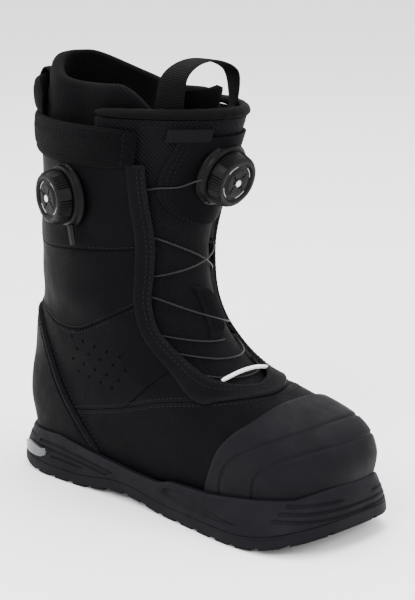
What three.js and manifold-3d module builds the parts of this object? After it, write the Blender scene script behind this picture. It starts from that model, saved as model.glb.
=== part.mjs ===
// Snowboard boot for a right foot: cup sole, soft shell, inner liner and two cable dials.
// Millimetres.  +X runs to the toe, -Y is the outer side of the foot, +Z is up.
import * as THREE from 'three';
import { mergeVertices } from 'three/addons/utils/BufferGeometryUtils.js';
import Module from 'manifold-3d';

const wasm = await Module();
wasm.setup();
const { Manifold, Mesh: SolidMesh, CrossSection } = wasm;

// ---------------------------------------------------------------- driving sizes
const soleLength = 305;          // heel to toe of the tread
const soleHeelWidth = 100;       // breadth law of the sole: heel, waist and ball of the foot
const soleWaistWidth = 90;
const soleBallWidth = 130;
const toeSpring = 14;            // lift of the tread at the toe tip
const heelBevel = 7;             // lift of the tread at the heel tip
const archLift = 5;              // lift of the tread under the arch
const lugDepth = 3.6;
const lugPitch = 15;
const lugGroove = 4.4;
const outsoleThickness = 8;
const sitGap = 0.35;             // clearance between any two parts that touch in the real boot
const shellThickness = 3;
const tongueThickness = 5;
const linerThickness = 9;
const linerTongueThickness = 7;
const footbedFloor = 33;          // inside bottom of the liner
const overlayThickness = 1.9;    // eyestays
const capThickness = 2.4;        // toe cap and heel counter
const collarTopHeight = 269;     // top of the knit collar
const collarBand = 19;           // height of the knit collar
const collarPad = 6;             // thickness of the padded collar
const achillesHeight = 297;      // top of the padded flap behind the ankle
const tongueTopHeight = 279;
const linerBackHeight = 313;
const linerTongueHeight = 293;
const eyestayWidth = 12;
const guideWidth = 7.5;          // depth of the cable guides behind the eyestay edge
const cableRadius = 0.6;
const knobRadius = 19.2;
const knobHeight = 10.6;
const dialBaseRadius = 21.5;
const spoolRadius = 13;
const dialPostRadius = 2.6;
const webbingWidth = 20;
const webbingThickness = 1.6;
const tongueLoopHeight = 36;     // rise of the tongue pull loop over the tongue edge
const heelLoopHeight = 36;

// Horizontal stations of the shell skin.  Each row: height at the back, height at the front,
// back x, front x, half breadth at the rear, middle and front, squareness, sideways lean of the front.
const stations = [
  [18, 26, -143, 141, 42, 43, 50, 2.6, 10],
  [36, 42, -147, 146, 43, 45, 52, 2.6, 10],
  [54, 60, -151, 148, 44, 46, 53, 2.6, 10],
  [72, 76, -150, 137, 44, 46, 50, 2.6, 10],
  [90, 87, -147, 103, 43, 45, 46, 2.5, 9],
  [112, 96, -143, 64, 43, 44, 43, 2.5, 7],
  [134, 114, -140, 42, 44, 45, 41, 2.35, 4],
  [156, 146, -138, 21, 46, 48, 43, 2.2, 1],
  [185, 185, -137, 15, 50, 52, 46, 2.1, 0],
  [220, 220, -135, 26, 52, 56, 50, 2.1, 0],
  [255, 255, -137, 40, 54, 60, 54, 2.1, 0],
  [290, 290, -141, 53, 56, 63, 57, 2.1, 0],
];
const topStation = stations.length - 1;

// Side view of the seams, as x, z pairs.
const soleTopLine = [[-170, 29], [-138, 29], [-94, 34], [-49, 29], [-10, 23.5], [14, 21.5], [19, 22],
  [25, 26], [63, 27.5], [102, 31.5], [128, 35], [140, 41], [147, 44.5], [170, 46]];
const vampSeam = [[-175, 40], [-120, 48], [-91, 54], [-24, 70], [11, 81], [52, 89], [95, 96]];
const counterEdge = [[-47, 10], [-50, 29], [-65, 45], [-86, 67], [-104, 90], [-117, 112], [-130, 123],
  [-175, 128]];
const toeCapEdge = [[55, 10], [56, 28], [63, 47], [70, 61], [80, 73], [92, 84], [97, 110]];
const throatSide = [[96, 72], [72, 84], [52, 93], [36, 101], [18, 114], [2, 129], [-5, 147], [-5, 170],
  [-3, 200], [-1, 235], [5, 278], [10, 310]];
const throatPlan = [[-200, 95], [20, 70], [48, 36], [60, 23], [66, 13], [68.5, 4], [68.5, -2]];

// Where the cable meets the edges of the throat, counted from the collar down to the toe.
const outerPorts = [[-1, 230], [-3, 194], [-5, 167], [-5, 152], [5, 126], [17, 115], [33, 103], [46, 96]];
const innerPorts = [[-1, 230], [-4, 186], [-5, 163], [4, 127], [16, 116], [31, 104], [46, 96]];

const tongueDial = { height: 240, tilt: 18 };
const sideDial = { x: -66, height: 221, swing: 14 };

// ---------------------------------------------------------------- colours
const colour = {
  rubber: 0x1b1b1c, upper: 0x232324, knit: 0x1a1b1c, plastic: 0x151516,
  bright: 0xc9cccf, webbing: 0x202021, lace: 0x3a3b3d, foam: 0x1e1f20, board: 0x4a4a48,
};
const boot = new THREE.Group();
boot.name = 'snowboard_boot';

function add(name, geometry, hex, roughness = 0.8, metalness = 0) {
  const clean = geometry.index ? geometry : mergeVertices(geometry);
  clean.computeVertexNormals();
  const material = new THREE.MeshStandardMaterial({ color: hex, roughness, metalness });
  const mesh = new THREE.Mesh(clean, material);
  mesh.name = name;
  boot.add(mesh);
}

// ---------------------------------------------------------------- solids
function geometryFrom(points, triangles) {
  const flat = [];
  for (const p of points) flat.push(p.x, p.y, p.z);
  let volume = 0;
  for (const [a, b, c] of triangles) {
    volume += points[a].dot(new THREE.Vector3().crossVectors(points[b], points[c]));
  }
  const index = [];
  for (const [a, b, c] of triangles) index.push(a, volume > 0 ? b : c, volume > 0 ? c : b);
  const geometry = new THREE.BufferGeometry();
  geometry.setAttribute('position', new THREE.Float32BufferAttribute(flat, 3));
  geometry.setIndex(index);
  return geometry;
}

function toSolid(geometry) {
  const bare = new THREE.BufferGeometry();
  bare.setAttribute('position', geometry.getAttribute('position').clone());
  if (geometry.index) bare.setIndex(geometry.index.clone());
  const welded = mergeVertices(bare, 1e-4);
  return new Manifold(new SolidMesh({
    numProp: 3,
    vertProperties: new Float32Array(welded.getAttribute('position').array),
    triVerts: new Uint32Array(welded.index.array),
  }));
}

// The largest connected body of a solid, as a three.js geometry.
function toGeometry(solid, tolerance = 0.1) {
  const bodies = solid.decompose();
  let best = bodies[0];
  for (const body of bodies) if (body.volume() > best.volume()) best = body;
  const mesh = best.simplify(tolerance).getMesh();
  const geometry = new THREE.BufferGeometry();
  geometry.setAttribute('position', new THREE.BufferAttribute(new Float32Array(mesh.vertProperties), 3));
  geometry.setIndex(new THREE.BufferAttribute(new Uint32Array(mesh.triVerts), 1));
  return geometry;
}

// Closed body between rings of equal length, with a fan over the first and the last ring.
function loft(rings) {
  const n = rings[0].length;
  const points = rings.flat();
  const triangles = [];
  for (let r = 0; r + 1 < rings.length; r += 1) {
    for (let i = 0; i < n; i += 1) {
      const j = (i + 1) % n;
      const a = r * n + i;
      const b = r * n + j;
      triangles.push([a, b, b + n], [a, b + n, a + n]);
    }
  }
  const lid = (first, flip) => {
    const middle = new THREE.Vector3();
    for (let i = 0; i < n; i += 1) middle.add(points[first + i]);
    points.push(middle.divideScalar(n));
    const centre = points.length - 1;
    for (let i = 0; i < n; i += 1) {
      const j = (i + 1) % n;
      triangles.push(flip ? [centre, first + j, first + i] : [centre, first + i, first + j]);
    }
  };
  lid(0, true);
  lid((rings.length - 1) * n, false);
  return geometryFrom(points, triangles);
}

// Closed sheet between an outer and an inner point function of two grid values in 0..1.
function sheet(outer, inner, across, along) {
  const points = [];
  const id = (side, i, j) => side * (across + 1) * (along + 1) + i * (along + 1) + j;
  for (const side of [outer, inner]) {
    for (let i = 0; i <= across; i += 1) {
      for (let j = 0; j <= along; j += 1) points.push(side(i / across, j / along));
    }
  }
  const triangles = [];
  const quad = (a, b, c, d) => triangles.push([a, b, c], [a, c, d]);
  for (let i = 0; i < across; i += 1) {
    for (let j = 0; j < along; j += 1) {
      quad(id(0, i, j), id(0, i + 1, j), id(0, i + 1, j + 1), id(0, i, j + 1));
      quad(id(1, i, j), id(1, i, j + 1), id(1, i + 1, j + 1), id(1, i + 1, j));
    }
    quad(id(0, i, 0), id(1, i, 0), id(1, i + 1, 0), id(0, i + 1, 0));
    quad(id(0, i, along), id(0, i + 1, along), id(1, i + 1, along), id(1, i, along));
  }
  for (let j = 0; j < along; j += 1) {
    quad(id(0, 0, j), id(0, 0, j + 1), id(1, 0, j + 1), id(1, 0, j));
    quad(id(0, across, j), id(1, across, j), id(1, across, j + 1), id(0, across, j + 1));
  }
  return geometryFrom(points, triangles);
}

// Prism over an x, z outline, spanning y0 to y1.
function sidePrism(outline, y0, y1, grow = 0) {
  let section = new CrossSection([outline], 'Positive');
  if (section.area() <= 0) section = new CrossSection([[...outline].reverse()], 'Positive');
  if (grow) section = section.offset(grow, 'Round', 2, 24);
  const prism = section.extrude(y1 - y0);
  return prism.rotate([90, 0, 0]).translate([0, y1, 0]);
}

// Prism over an x, y outline, spanning z0 to z1.
function planPrism(outline, z0, z1, grow = 0) {
  let section = new CrossSection([outline], 'Positive');
  if (section.area() <= 0) section = new CrossSection([[...outline].reverse()], 'Positive');
  if (grow) section = section.offset(grow, 'Round', 2, 24);
  return section.extrude(z1 - z0).translate([0, 0, z0]);
}

const box = (x0, x1, y0, y1, z0, z1) => Manifold.cube([x1 - x0, y1 - y0, z1 - z0]).translate([x0, y0, z0]);

// ---------------------------------------------------------------- skin of the shell
function stationAt(v) {
  const k = Math.min(Math.max(v, 0), topStation);
  const i = Math.min(Math.floor(k), topStation - 1);
  const t = k - i;
  const row = (r) => stations[Math.min(Math.max(r, 0), topStation)];
  const [p0, p1, p2, p3] = [row(i - 1), row(i), row(i + 1), row(i + 2)];
  return p1.map((_, c) => 0.5 * (2 * p1[c] + (p2[c] - p0[c]) * t
    + (2 * p0[c] - 5 * p1[c] + 4 * p2[c] - p3[c]) * t * t
    + (3 * p1[c] - p0[c] - 3 * p2[c] + p3[c]) * t * t * t));
}

const bend = (value, power) => Math.sign(value) * Math.abs(value) ** power;

// Breadth along the foot: a parabola through the rear, middle and front values.
function breadth(u, rear, middle, front) {
  return rear * (u - 0.5) * (u - 0.8) / 0.18 - middle * (u - 0.2) * (u - 0.8) / 0.09
    + front * (u - 0.2) * (u - 0.5) / 0.18;
}

function skinPoint(v, theta) {
  const [zb, zf, xb, xf, rear, middle, front, square, lean] = stationAt(v);
  const u = (1 - bend(Math.cos(theta), 2 / square)) / 2;
  const cap = bend(Math.sin(theta), 2 / square);
  const y = -cap * breadth(u, rear, middle, front) + lean * u * u;
  return new THREE.Vector3(xb + (xf - xb) * u, y, zb + (zf - zb) * u);
}

// Point on the skin moved outward by a distance.  theta: 0 back, PI/2 outer side, PI toe.
function skin(v, theta, out = 0) {
  const point = skinPoint(v, theta);
  if (!out) return point;
  const du = skinPoint(v + 0.06, theta).sub(skinPoint(v - 0.06, theta));
  const dt = skinPoint(v, theta - 0.05).sub(skinPoint(v, theta + 0.05));
  const normal = new THREE.Vector3().crossVectors(du, dt).normalize();
  return point.addScaledVector(normal, out);
}

// Grid values of the skin point at a given x and height on one side of the boot.
function locate(x, z, side) {
  let low = 0;
  let high = topStation;
  const squareCos = (v) => {
    const [, , xb, xf, , , , square] = stationAt(v);
    const u = Math.min(Math.max((x - xb) / (xf - xb), 0), 1);
    return Math.acos(bend(1 - 2 * u, square / 2));
  };
  for (let step = 0; step < 40; step += 1) {
    const v = (low + high) / 2;
    if (skinPoint(v, squareCos(v)).z < z) low = v;
    else high = v;
  }
  const theta = squareCos(low);
  return { v: low, theta: side < 0 ? theta : 2 * Math.PI - theta };
}

const angles = (count) => Array.from({ length: count }, (_, i) => 2 * Math.PI * i / count);
const levelFor = (z) => locate(-60, z, -1).v;

// Levels of the skin shared by every layer, so that stacked layers keep an even gap.
const skinLevels = [0, 0.6, 1.2, 1.8, 2.3, 2.8, 3.2, 3.6, 4, 4.4, 4.8, 5.2, 5.6, 6, 6.5, 7, 7.6, 8.3, 9, 9.7,
  10.3, 11];
const around = 36;
const skinRing = (v, out) => angles(around).map((a) => skin(v, a, out));
const skinBlock = (out) => toSolid(loft(skinLevels.map((v) => skinRing(v, out))));

// Hollow wall of the shell between two offsets, open at the top and the bottom.
function shellWall(outside, inside) {
  const core = [skinRing(0, inside).map((p) => p.clone().setZ(p.z - 4))];
  for (const v of skinLevels) core.push(skinRing(v, inside));
  core.push(skinRing(topStation, inside).map((p) => p.clone().setZ(p.z + 4)));
  return skinBlock(outside).subtract(toSolid(loft(core)));
}

// ---------------------------------------------------------------- sole
function soleEdge(theta, out = 0) {
  const square = 2.6;
  const u = (1 - bend(Math.cos(theta), 2 / square)) / 2;
  const cap = bend(Math.sin(theta), 2 / square);
  const half = breadth(u, soleHeelWidth / 2, soleWaistWidth / 2, soleBallWidth / 2) + out;
  return [(soleLength + 2 * out) * (u - 0.5) + 0.5, -cap * half + 7 * u ** 6];
}

function tread(x) {
  const heel = -soleLength / 2;
  if (x < heel + 47) return heelBevel * ((heel + 47 - x) / 47) ** 2;
  if (x < -75) return 0;
  if (x < 25) return archLift * Math.sin(Math.PI * (x + 75) / 100) ** 2;
  if (x < 92) return 0;
  return toeSpring * ((x - 92) / (soleLength / 2 - 92)) ** 1.8;
}

function onLine(line, x) {
  for (let i = 0; i + 1 < line.length; i += 1) {
    const [x0, z0] = line[i];
    const [x1, z1] = line[i + 1];
    if (x <= x1) return z0 + (z1 - z0) * Math.max(0, (x - x0) / (x1 - x0));
  }
  return line[line.length - 1][1];
}

// Area between the ground line and a lift above it, as an x, z outline.
function groundStrip(x0, x1, low, high) {
  const steps = Math.max(2, Math.ceil((x1 - x0) / 9));
  const line = Array.from({ length: steps + 1 }, (_, i) => x0 + (x1 - x0) * i / steps);
  return [...line.map((x) => [x, tread(x) + low]), ...line.reverse().map((x) => [x, tread(x) + high])];
}

function outsole() {
  const outline = (out) => angles(around).map((a) => soleEdge(a, out));
  const reach = soleLength / 2 + 5;
  const slab = (low, high, out) => sidePrism(groundStrip(-reach, reach, low, high), -90, 90)
    .intersect(planPrism(outline(out), -5, 40));
  let lugs = slab(0, lugDepth + 0.5, -0.8);
  const starts = [];
  for (let x = -soleLength / 2 + 13; x < soleLength / 2 - 6; x += lugPitch) starts.push(x);
  for (const x of starts) {
    lugs = lugs.subtract(sidePrism(groundStrip(x, x + lugGroove, -9, lugDepth), -90, 90));
  }
  for (const y of [-24, 19]) {
    lugs = lugs.subtract(sidePrism(groundStrip(-reach + 18, reach - 20, -9, lugDepth), y, y + lugGroove));
  }
  return toGeometry(slab(lugDepth, outsoleThickness, 0).add(lugs), 0.02);
}

// Outer face of the midsole: straight up from the tread, then drawn in to hug the shell.
function midsoleSide(theta, t) {
  const [x, y] = soleEdge(theta, 0.2);
  const rim = skin(0.9, theta, 4.2);
  const low = new THREE.Vector3(x, y, tread(x) + outsoleThickness - 6);
  const high = new THREE.Vector3(rim.x, rim.y, onLine(soleTopLine, rim.x));
  const mix = t * t * (1.4 - 0.4 * t);
  return new THREE.Vector3(low.x + (high.x - low.x) * mix, low.y + (high.y - low.y) * mix,
    low.z + (high.z - low.z) * t);
}

function midsoleSolid() {
  const rings = [angles(around).map((a) => midsoleSide(a, 0))];
  for (const t of [0.25, 0.5, 0.75, 0.92, 1]) rings.push(angles(around).map((a) => midsoleSide(a, t)));
  rings.push(angles(around).map((a) => {
    const p = skin(0.9, a, capThickness * 0.3 + sitGap);
    return p.setZ(onLine(soleTopLine, p.x));
  }));
  let body = toSolid(loft(rings));
  const cup = [];
  for (const v of skinLevels.slice(0, 5)) cup.push(skinRing(v, sitGap));
  const reach = soleLength / 2 + 5;
  const under = sidePrism(groundStrip(-reach, reach, -30, outsoleThickness + sitGap), -90, 90);
  return body.subtract(toSolid(loft(cup))).subtract(under);
}

function heelWindow(side, grow) {
  const from = locate(-134, 30, side).theta;
  const to = locate(-104, 30, side).theta;
  const face = (out) => (s, t) => {
    const ease = from + (to - from) * s;
    const margin = grow * (2 * t - 1);
    const [x, y] = soleEdge(ease, out);
    const height = 4.2 * Math.sqrt(Math.max(0.12, 1 - (2 * s - 1) ** 4));
    return new THREE.Vector3(x + grow * (2 * s - 1), y, 16.5 + height * (2 * t - 1) + margin);
  };
  return sheet(face(0.5 + grow), face(-2.2 - grow), 10, 4);
}

// ---------------------------------------------------------------- shell
// Room of the throat: the instep and shin seen from the side, rounded off towards the toe in plan.
function throatCutter(grow) {
  const curve = new THREE.SplineCurve(throatSide.map(([x, z]) => new THREE.Vector2(x, z)));
  const side = [...curve.getPoints(26).map((p) => [p.x, p.y]), [150, 310], [150, 72]];
  const plan = [...throatPlan, ...throatPlan.map(([x, y]) => [x, 6 - y]).reverse()];
  return sidePrism(side, -100, 100, grow).intersect(planPrism(plan, 60, 330, grow));
}

const belowSole = (lift) => sidePrism([...soleTopLine.map(([x, z]) => [x, z + lift]),
  [170, -20], [-170, -20]], -100, 100);

function shellParts() {
  const rim = collarTopHeight - collarBand;
  const wall = shellWall(0, -shellThickness).intersect(box(-200, 200, -100, 100, 0, rim));
  const open = wall.subtract(throatCutter(guideWidth));
  const upperLine = vampSeam.map(([x, z]) => [x, z + sitGap / 2]);
  const above = sidePrism([...upperLine, [200, 120], [200, 330], [-200, 330], [-200, 40]], -100, 100);
  const lowerLine = vampSeam.map(([x, z]) => [x, z - sitGap / 2]);
  const under = sidePrism([...lowerLine, [200, 100], [200, -20], [-200, -20], [-200, 40]], -100, 100);
  const upper = open.intersect(above);
  return {
    vamp: open.intersect(under),
    quarterOuter: upper.intersect(box(-200, 200, -100, -sitGap / 2, 0, 330)),
    quarterInner: upper.intersect(box(-200, 200, sitGap / 2, 100, 0, 330)),
  };
}

function overlay(outline, thickness) {
  const wall = shellWall(sitGap + thickness, sitGap);
  return wall.intersect(sidePrism(outline, -100, 100)).subtract(belowSole(4 * sitGap));
}

function eyestay(side) {
  const rim = collarTopHeight - collarBand - sitGap;
  const wall = shellWall(sitGap + overlayThickness, sitGap);
  const half = side < 0 ? box(-200, 200, -100, 3 - sitGap / 2, 0, rim)
    : box(-200, 200, 3 + sitGap / 2, 100, 0, rim);
  return wall.intersect(throatCutter(eyestayWidth)).subtract(throatCutter(0)).intersect(half);
}

// Padded band that follows the rim of the shaft from one eyestay round the back to the other.
function collar(side) {
  const low = levelFor(collarTopHeight - collarBand) + 0.02;
  const high = levelFor(collarTopHeight);
  const end = locate(-1.5, collarTopHeight - 8, side).theta;
  const start = side < 0 ? 0.004 : 2 * Math.PI - 0.004;
  const swell = (t) => Math.sqrt(Math.max(0.05, 1 - (2 * t - 1) ** 4));
  const face = (sign) => (s, t) => {
    const pad = collarPad / 2 * swell(t) * Math.sqrt(Math.max(0.2, 1 - (2 * s - 1) ** 12));
    return skin(low + (high - low) * t, start + (end - start) * s, 0.25 + sign * pad);
  };
  return sheet(face(1), face(-1), 16, 6);
}

function achillesFlap() {
  const low = levelFor(collarTopHeight) + 0.03;
  const high = levelFor(achillesHeight);
  const face = (sign) => (s, t) => {
    const rise = low + (high - low) * t * (1 - 0.55 * (2 * s - 1) ** 4);
    const swell = Math.sqrt(Math.max(0.08, 1 - (2 * t - 1) ** 4))
      * Math.sqrt(Math.max(0.15, 1 - (2 * s - 1) ** 6));
    const p = skin(rise, 0.98 * (2 * s - 1), -0.3 + sign * 2.7 * swell);
    return p.setZ(p.z + (achillesHeight - 290) * t * (1 - 0.55 * (2 * s - 1) ** 4));
  };
  return sheet(face(1), face(-1), 12, 6);
}

// ---------------------------------------------------------------- tongue
const tongueReach = (v) => 0.62 + 0.85 * Math.min(1, Math.max(0, (v - 4.3) / 2.6));
const tongueFoot = 4.3;

function tongueFace(out) {
  const top = levelFor(tongueTopHeight);
  return (s, t) => {
    const v = tongueFoot + (top - tongueFoot) * t;
    return skin(v, Math.PI + tongueReach(v) * (2 * s - 1), out);
  };
}

function tongueBinding() {
  const v = levelFor(tongueTopHeight) + 0.102;
  const centreOff = -shellThickness - sitGap - tongueThickness / 2;
  const rings = [];
  const count = 20;
  for (let i = 0; i <= count; i += 1) {
    const theta = Math.PI + tongueReach(v) * (2 * i / count - 1);
    const pinch = Math.sqrt(Math.max(0.25, 1 - (2 * i / count - 1) ** 10));
    rings.push(angles(8).map((a) => {
      const p = skin(v, theta, centreOff + 3.4 * pinch * Math.cos(a));
      return p.setZ(p.z + 3.2 * pinch * Math.sin(a));
    }));
  }
  return loft(rings);
}

function tonguePatch() {
  const low = levelFor(203);
  const high = levelFor(268);
  const out = -shellThickness;
  const bow = 0.42;                // share of the height taken by the rounded lower end
  const face = (lift) => (s, t) => {
    const swing = Math.PI / 2 * Math.min(1, t / bow);
    const rise = t < bow ? bow * (1 - Math.cos(swing)) : t;
    const spread = 0.82 * Math.max(0.1, Math.sin(swing));
    return skin(low + (high - low) * rise, Math.PI + spread * (2 * s - 1), out + lift);
  };
  return sheet(face(1.75), face(0.55), 12, 9);
}

function label() {
  const high = levelFor(274.5);
  const low = levelFor(269.5);
  const face = (lift) => (s, t) => (
    skin(low + (high - low) * t, Math.PI - 0.62 + 0.42 * s, -shellThickness + lift));
  return sheet(face(0.9), face(0), 8, 2);
}

// Strap lying flat on a curve: centre points with a breadth direction and a face direction.
function strap(path, count) {
  const rings = [];
  for (let i = 0; i <= count; i += 1) {
    const { centre, across, face } = path(i / count);
    const corner = (a, b) => centre.clone().addScaledVector(across, a * webbingWidth / 2)
      .addScaledVector(face, b * webbingThickness / 2);
    rings.push([corner(-1, -1), corner(1, -1), corner(1, 1), corner(-1, 1)]);
  }
  return loft(rings);
}

function tongueLoop() {
  const reach = 0.86;
  const foot = levelFor(tongueTopHeight - 9);
  const out = -shellThickness - sitGap - tongueThickness - 3.2;
  const outer = skin(foot, Math.PI - reach, out);
  const inner = skin(foot, Math.PI + reach, out);
  const top = outer.clone().add(inner).multiplyScalar(0.5);
  top.z += 9 + tongueLoopHeight;
  top.x += 3;
  const lift = (p, dz, dx) => new THREE.Vector3(p.x + dx, p.y, p.z + dz);
  const curve = new THREE.CatmullRomCurve3([outer, lift(outer, 16, 4), lift(outer, 35, 6).lerp(top, 0.16), top,
    lift(inner, 35, 6).lerp(top, 0.16), lift(inner, 16, 4), inner]);
  return strap((s) => {
    const angle = Math.PI / 4 * (1 - 2 * s);
    const along = curve.getTangentAt(s);
    const across = new THREE.Vector3(Math.cos(angle), Math.sin(angle), 0);
    across.addScaledVector(along, -across.dot(along)).normalize();
    return { centre: curve.getPointAt(s), across, face: new THREE.Vector3().crossVectors(along, across) };
  }, 26);
}

function heelLoop() {
  const z0 = collarTopHeight - 6;
  const back = skin(levelFor(z0), 0.0001, 5.2);
  const points = [[0, 0], [-0.6, 14], [-1.4, heelLoopHeight - 6], [1.6, heelLoopHeight],
    [4.2, heelLoopHeight + 2.4],
    [8.6, heelLoopHeight + 1.2], [11.6, heelLoopHeight - 4]]
    .map(([dx, dz]) => new THREE.Vector3(back.x + dx, 0, z0 + dz));
  const curve = new THREE.CatmullRomCurve3(points);
  return strap((s) => {
    const along = curve.getTangentAt(s);
    const across = new THREE.Vector3(0, 1, 0);
    return { centre: curve.getPointAt(s), across, face: new THREE.Vector3().crossVectors(along, across) };
  }, 20);
}

// ---------------------------------------------------------------- liner
const smooth = (a, b, x) => {
  const t = Math.min(1, Math.max(0, (x - a) / (b - a)));
  return t * t * (3 - 2 * t);
};

// Gap left outside the liner: the shell all round, and the tongue as well at the front.
function linerOut(v, theta) {
  const fromBack = Math.abs(Math.PI - Math.abs(theta - Math.PI));
  const front = smooth(1.05, 1.5, fromBack);
  const high = smooth(9.2, 10.1, v);
  const covered = smooth(3.3, 4.1, v);
  const room = shellThickness + 2 * sitGap + 0.2;
  return -(room + front * covered * (tongueThickness + 2 + 3.4 * high));
}

function linerRim(theta) {
  const fromBack = Math.abs(Math.PI - Math.abs(theta - Math.PI));
  const side = theta < Math.PI ? 298 : 289;
  const slope = linerBackHeight + (side - linerBackHeight) * smooth(0.35, 1.5, fromBack);
  return slope + (274 - slope) * smooth(1.75, 2.3, fromBack);
}

const linerLevels = [0.34, 0.7, 1.2, 2.3, 3.2, 4, 4.4, 4.8, 5.2, 5.6, 6, 6.5, 7, 7.6, 8.3, 9];

// Point of the liner wall.  t runs past 1 over the last stretch up to the sloping rim.
function linerPoint(theta, v, t, extra, lift = 0) {
  const last = linerLevels[linerLevels.length - 1];
  const lastHeight = skinPoint(last, theta).z;
  const z = t > 0 ? lastHeight + (linerRim(theta) - lastHeight) * t : 0;
  const level = t > 0 ? levelFor(Math.min(z, 290)) : v;
  const p = skin(level, theta, linerOut(level, theta) - extra);
  p.z += Math.max(0, z - 290) + lift;
  p.x += 0.28 * Math.max(0, z - 262) * Math.cos(theta / 2) ** 4;
  return p;
}

function linerBoot() {
  const ring = (v, t, extra, lift) => angles(30).map((a) => linerPoint(a, v, t, extra, lift));
  const climb = [0.34, 0.67, 1];
  const inner = [];
  const rings = [ring(0.34, 0, 3, -1.2)];
  for (const v of linerLevels) rings.push(ring(v, 0, 0));
  for (const t of climb) rings.push(ring(0, t, 0));
  rings.push(ring(0, 1, linerThickness * 0.25, 2.6), ring(0, 1, linerThickness * 0.75, 2.6));
  for (const t of [...climb].reverse()) rings.push(ring(0, t, linerThickness));
  for (const v of linerLevels.filter((_, i) => i > 1 && i % 2)) inner.push(ring(v, 0, linerThickness));
  rings.push(...inner.reverse());
  rings.push(ring(1.2, 0, linerThickness + 3).map((p) => p.setZ(footbedFloor)));
  return toSolid(loft(rings));
}

function linerTongueFace(extra) {
  return (s, t) => {
    const v = 6.3 + (topStation - 6.3) * Math.min(1, t / 0.93);
    const p = skin(v, Math.PI + 0.8 * (2 * s - 1), linerOut(v, Math.PI) - linerThickness - 3 * sitGap);
    p.z += (linerTongueHeight - 290) * Math.max(0, t - 0.93) / 0.07;
    p.x -= extra;
    return p;
  };
}

function lastingBoard() {
  const ring = (extra, lift) => angles(around).map((a) => {
    const p = skin(0, a, -shellThickness - sitGap - extra);
    return p.setZ(p.z + lift - 0.1);
  });
  return loft([ring(0.8, sitGap), ring(0.3, 0.9), ring(0.3, 1.9)]);
}

function footbed() {
  const ring = (lift, extra) => angles(40).map((a) => {
    const p = skin(1.2, a, linerOut(1.2, a) - linerThickness - 3.6 - extra);
    return p.setZ(footbedFloor + sitGap + lift);
  });
  return loft([ring(0, 1), ring(0.8, 0), ring(3.4, 0), ring(4, 1)]);
}

// ---------------------------------------------------------------- cables
function edgePoint([x, z], side, inward, out) {
  const { v, theta } = locate(x, z, side);
  const base = skin(v, theta, out);
  const ahead = skin(v, theta + 0.02 * (side < 0 ? 1 : -1), out).sub(base).normalize();
  return base.addScaledVector(ahead, inward);
}

// Way across the tongue from one throat edge to the other, hugging its surface.
function acrossTongue(from, to, out, count, climb = 0) {
  const a = locate(...from.port, from.side);
  const b = locate(...to.port, to.side);
  return Array.from({ length: count }, (_, i) => {
    const t = (i + 1) / (count + 1);
    const v = a.v + (b.v - a.v) * t + climb * Math.sin(Math.PI * t);
    return skin(v, a.theta + (b.theta - a.theta) * t, out);
  });
}

const sleeveLift = 1.2;
const sleeveClimb = 0.62;        // how far the lowest pass rises up the instep, in stations
const halfMoonHeight = 141;
const runOut = -1.75;            // depth of the cable below the shell skin, just above the tongue
const outerPort = (i) => ({ port: outerPorts[i], side: -1 });
const innerPort = (i) => ({ port: innerPorts[i], side: 1 });

function turn(list, a, b) {
  list.push(edgePoint(a.port, a.side, 0.5, runOut), edgePoint(a.port, a.side, -3, runOut));
  for (const t of [0.14, 0.86]) {
    const between = [a.port[0] + (b.port[0] - a.port[0]) * t, a.port[1] + (b.port[1] - a.port[1]) * t];
    list.push(edgePoint(between, a.side, -4, runOut));
  }
  list.push(edgePoint(b.port, b.side, -3, runOut), edgePoint(b.port, b.side, 0.5, runOut));
}

function dialFrame(which) {
  if (which === 'tongue') {
    const { v } = locate(100, tongueDial.height, -1);
    const spot = skin(v, Math.PI, -shellThickness + 1.75);
    const tilt = THREE.MathUtils.degToRad(tongueDial.tilt);
    return { spot, axis: new THREE.Vector3(Math.cos(tilt), 0, -Math.sin(tilt)) };
  }
  const { v, theta } = locate(sideDial.x, sideDial.height, -1);
  const swing = THREE.MathUtils.degToRad(sideDial.swing);
  const axis = new THREE.Vector3(-Math.sin(swing), -Math.cos(swing), -0.07).normalize();
  return { spot: skin(v, theta, sitGap + 0.4), axis };
}

function upperCablePath() {
  const { spot, axis } = dialFrame('tongue');
  const port = (side) => spot.clone().addScaledVector(axis, 2.1).add(new THREE.Vector3(0, side * 16.5, 0));
  const away = (side) => spot.clone().addScaledVector(axis, 2.0).add(new THREE.Vector3(-2.5, side * 24, -1));
  const path = [port(-1), away(-1), skin(locate(20, 233, -1).v, Math.PI - 0.6, 0),
    skin(locate(20, 232, -1).v, Math.PI - 0.8, -0.1)];
  turn(path, outerPort(0), outerPort(1));
  path.push(...acrossTongue(outerPort(1), innerPort(2), runOut, 5));
  turn(path, innerPort(2), innerPort(3));
  path.push(...acrossTongue(innerPort(3), outerPort(3), runOut + 0.9, 5));
  turn(path, outerPort(3), outerPort(2));
  path.push(...acrossTongue(outerPort(2), innerPort(1), runOut + 1.75, 5));
  turn(path, innerPort(1), innerPort(0));
  path.push(skin(locate(20, 232, 1).v, Math.PI + 0.8, -0.1), skin(locate(20, 233, 1).v, Math.PI + 0.6, 0));
  path.push(away(1), port(1));
  return path;
}

function lowerCablePath() {
  const start = acrossTongue(outerPort(4), innerPort(3), runOut, 5);
  const path = [start[2], start[1], start[0]];
  turn(path, outerPort(4), outerPort(5));
  path.push(...acrossTongue(outerPort(5), innerPort(4), runOut, 5));
  turn(path, innerPort(4), innerPort(5));
  path.push(...acrossTongue(innerPort(5), outerPort(6), runOut, 5));
  turn(path, outerPort(6), outerPort(7));
  path.push(...acrossTongue(outerPort(7), innerPort(6), sleeveLift, 6, sleeveClimb));
  path.push(edgePoint(innerPorts[6], 1, 0.5, runOut + 0.6), edgePoint(innerPorts[6], 1, -3.6, runOut));
  return path;
}

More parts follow.
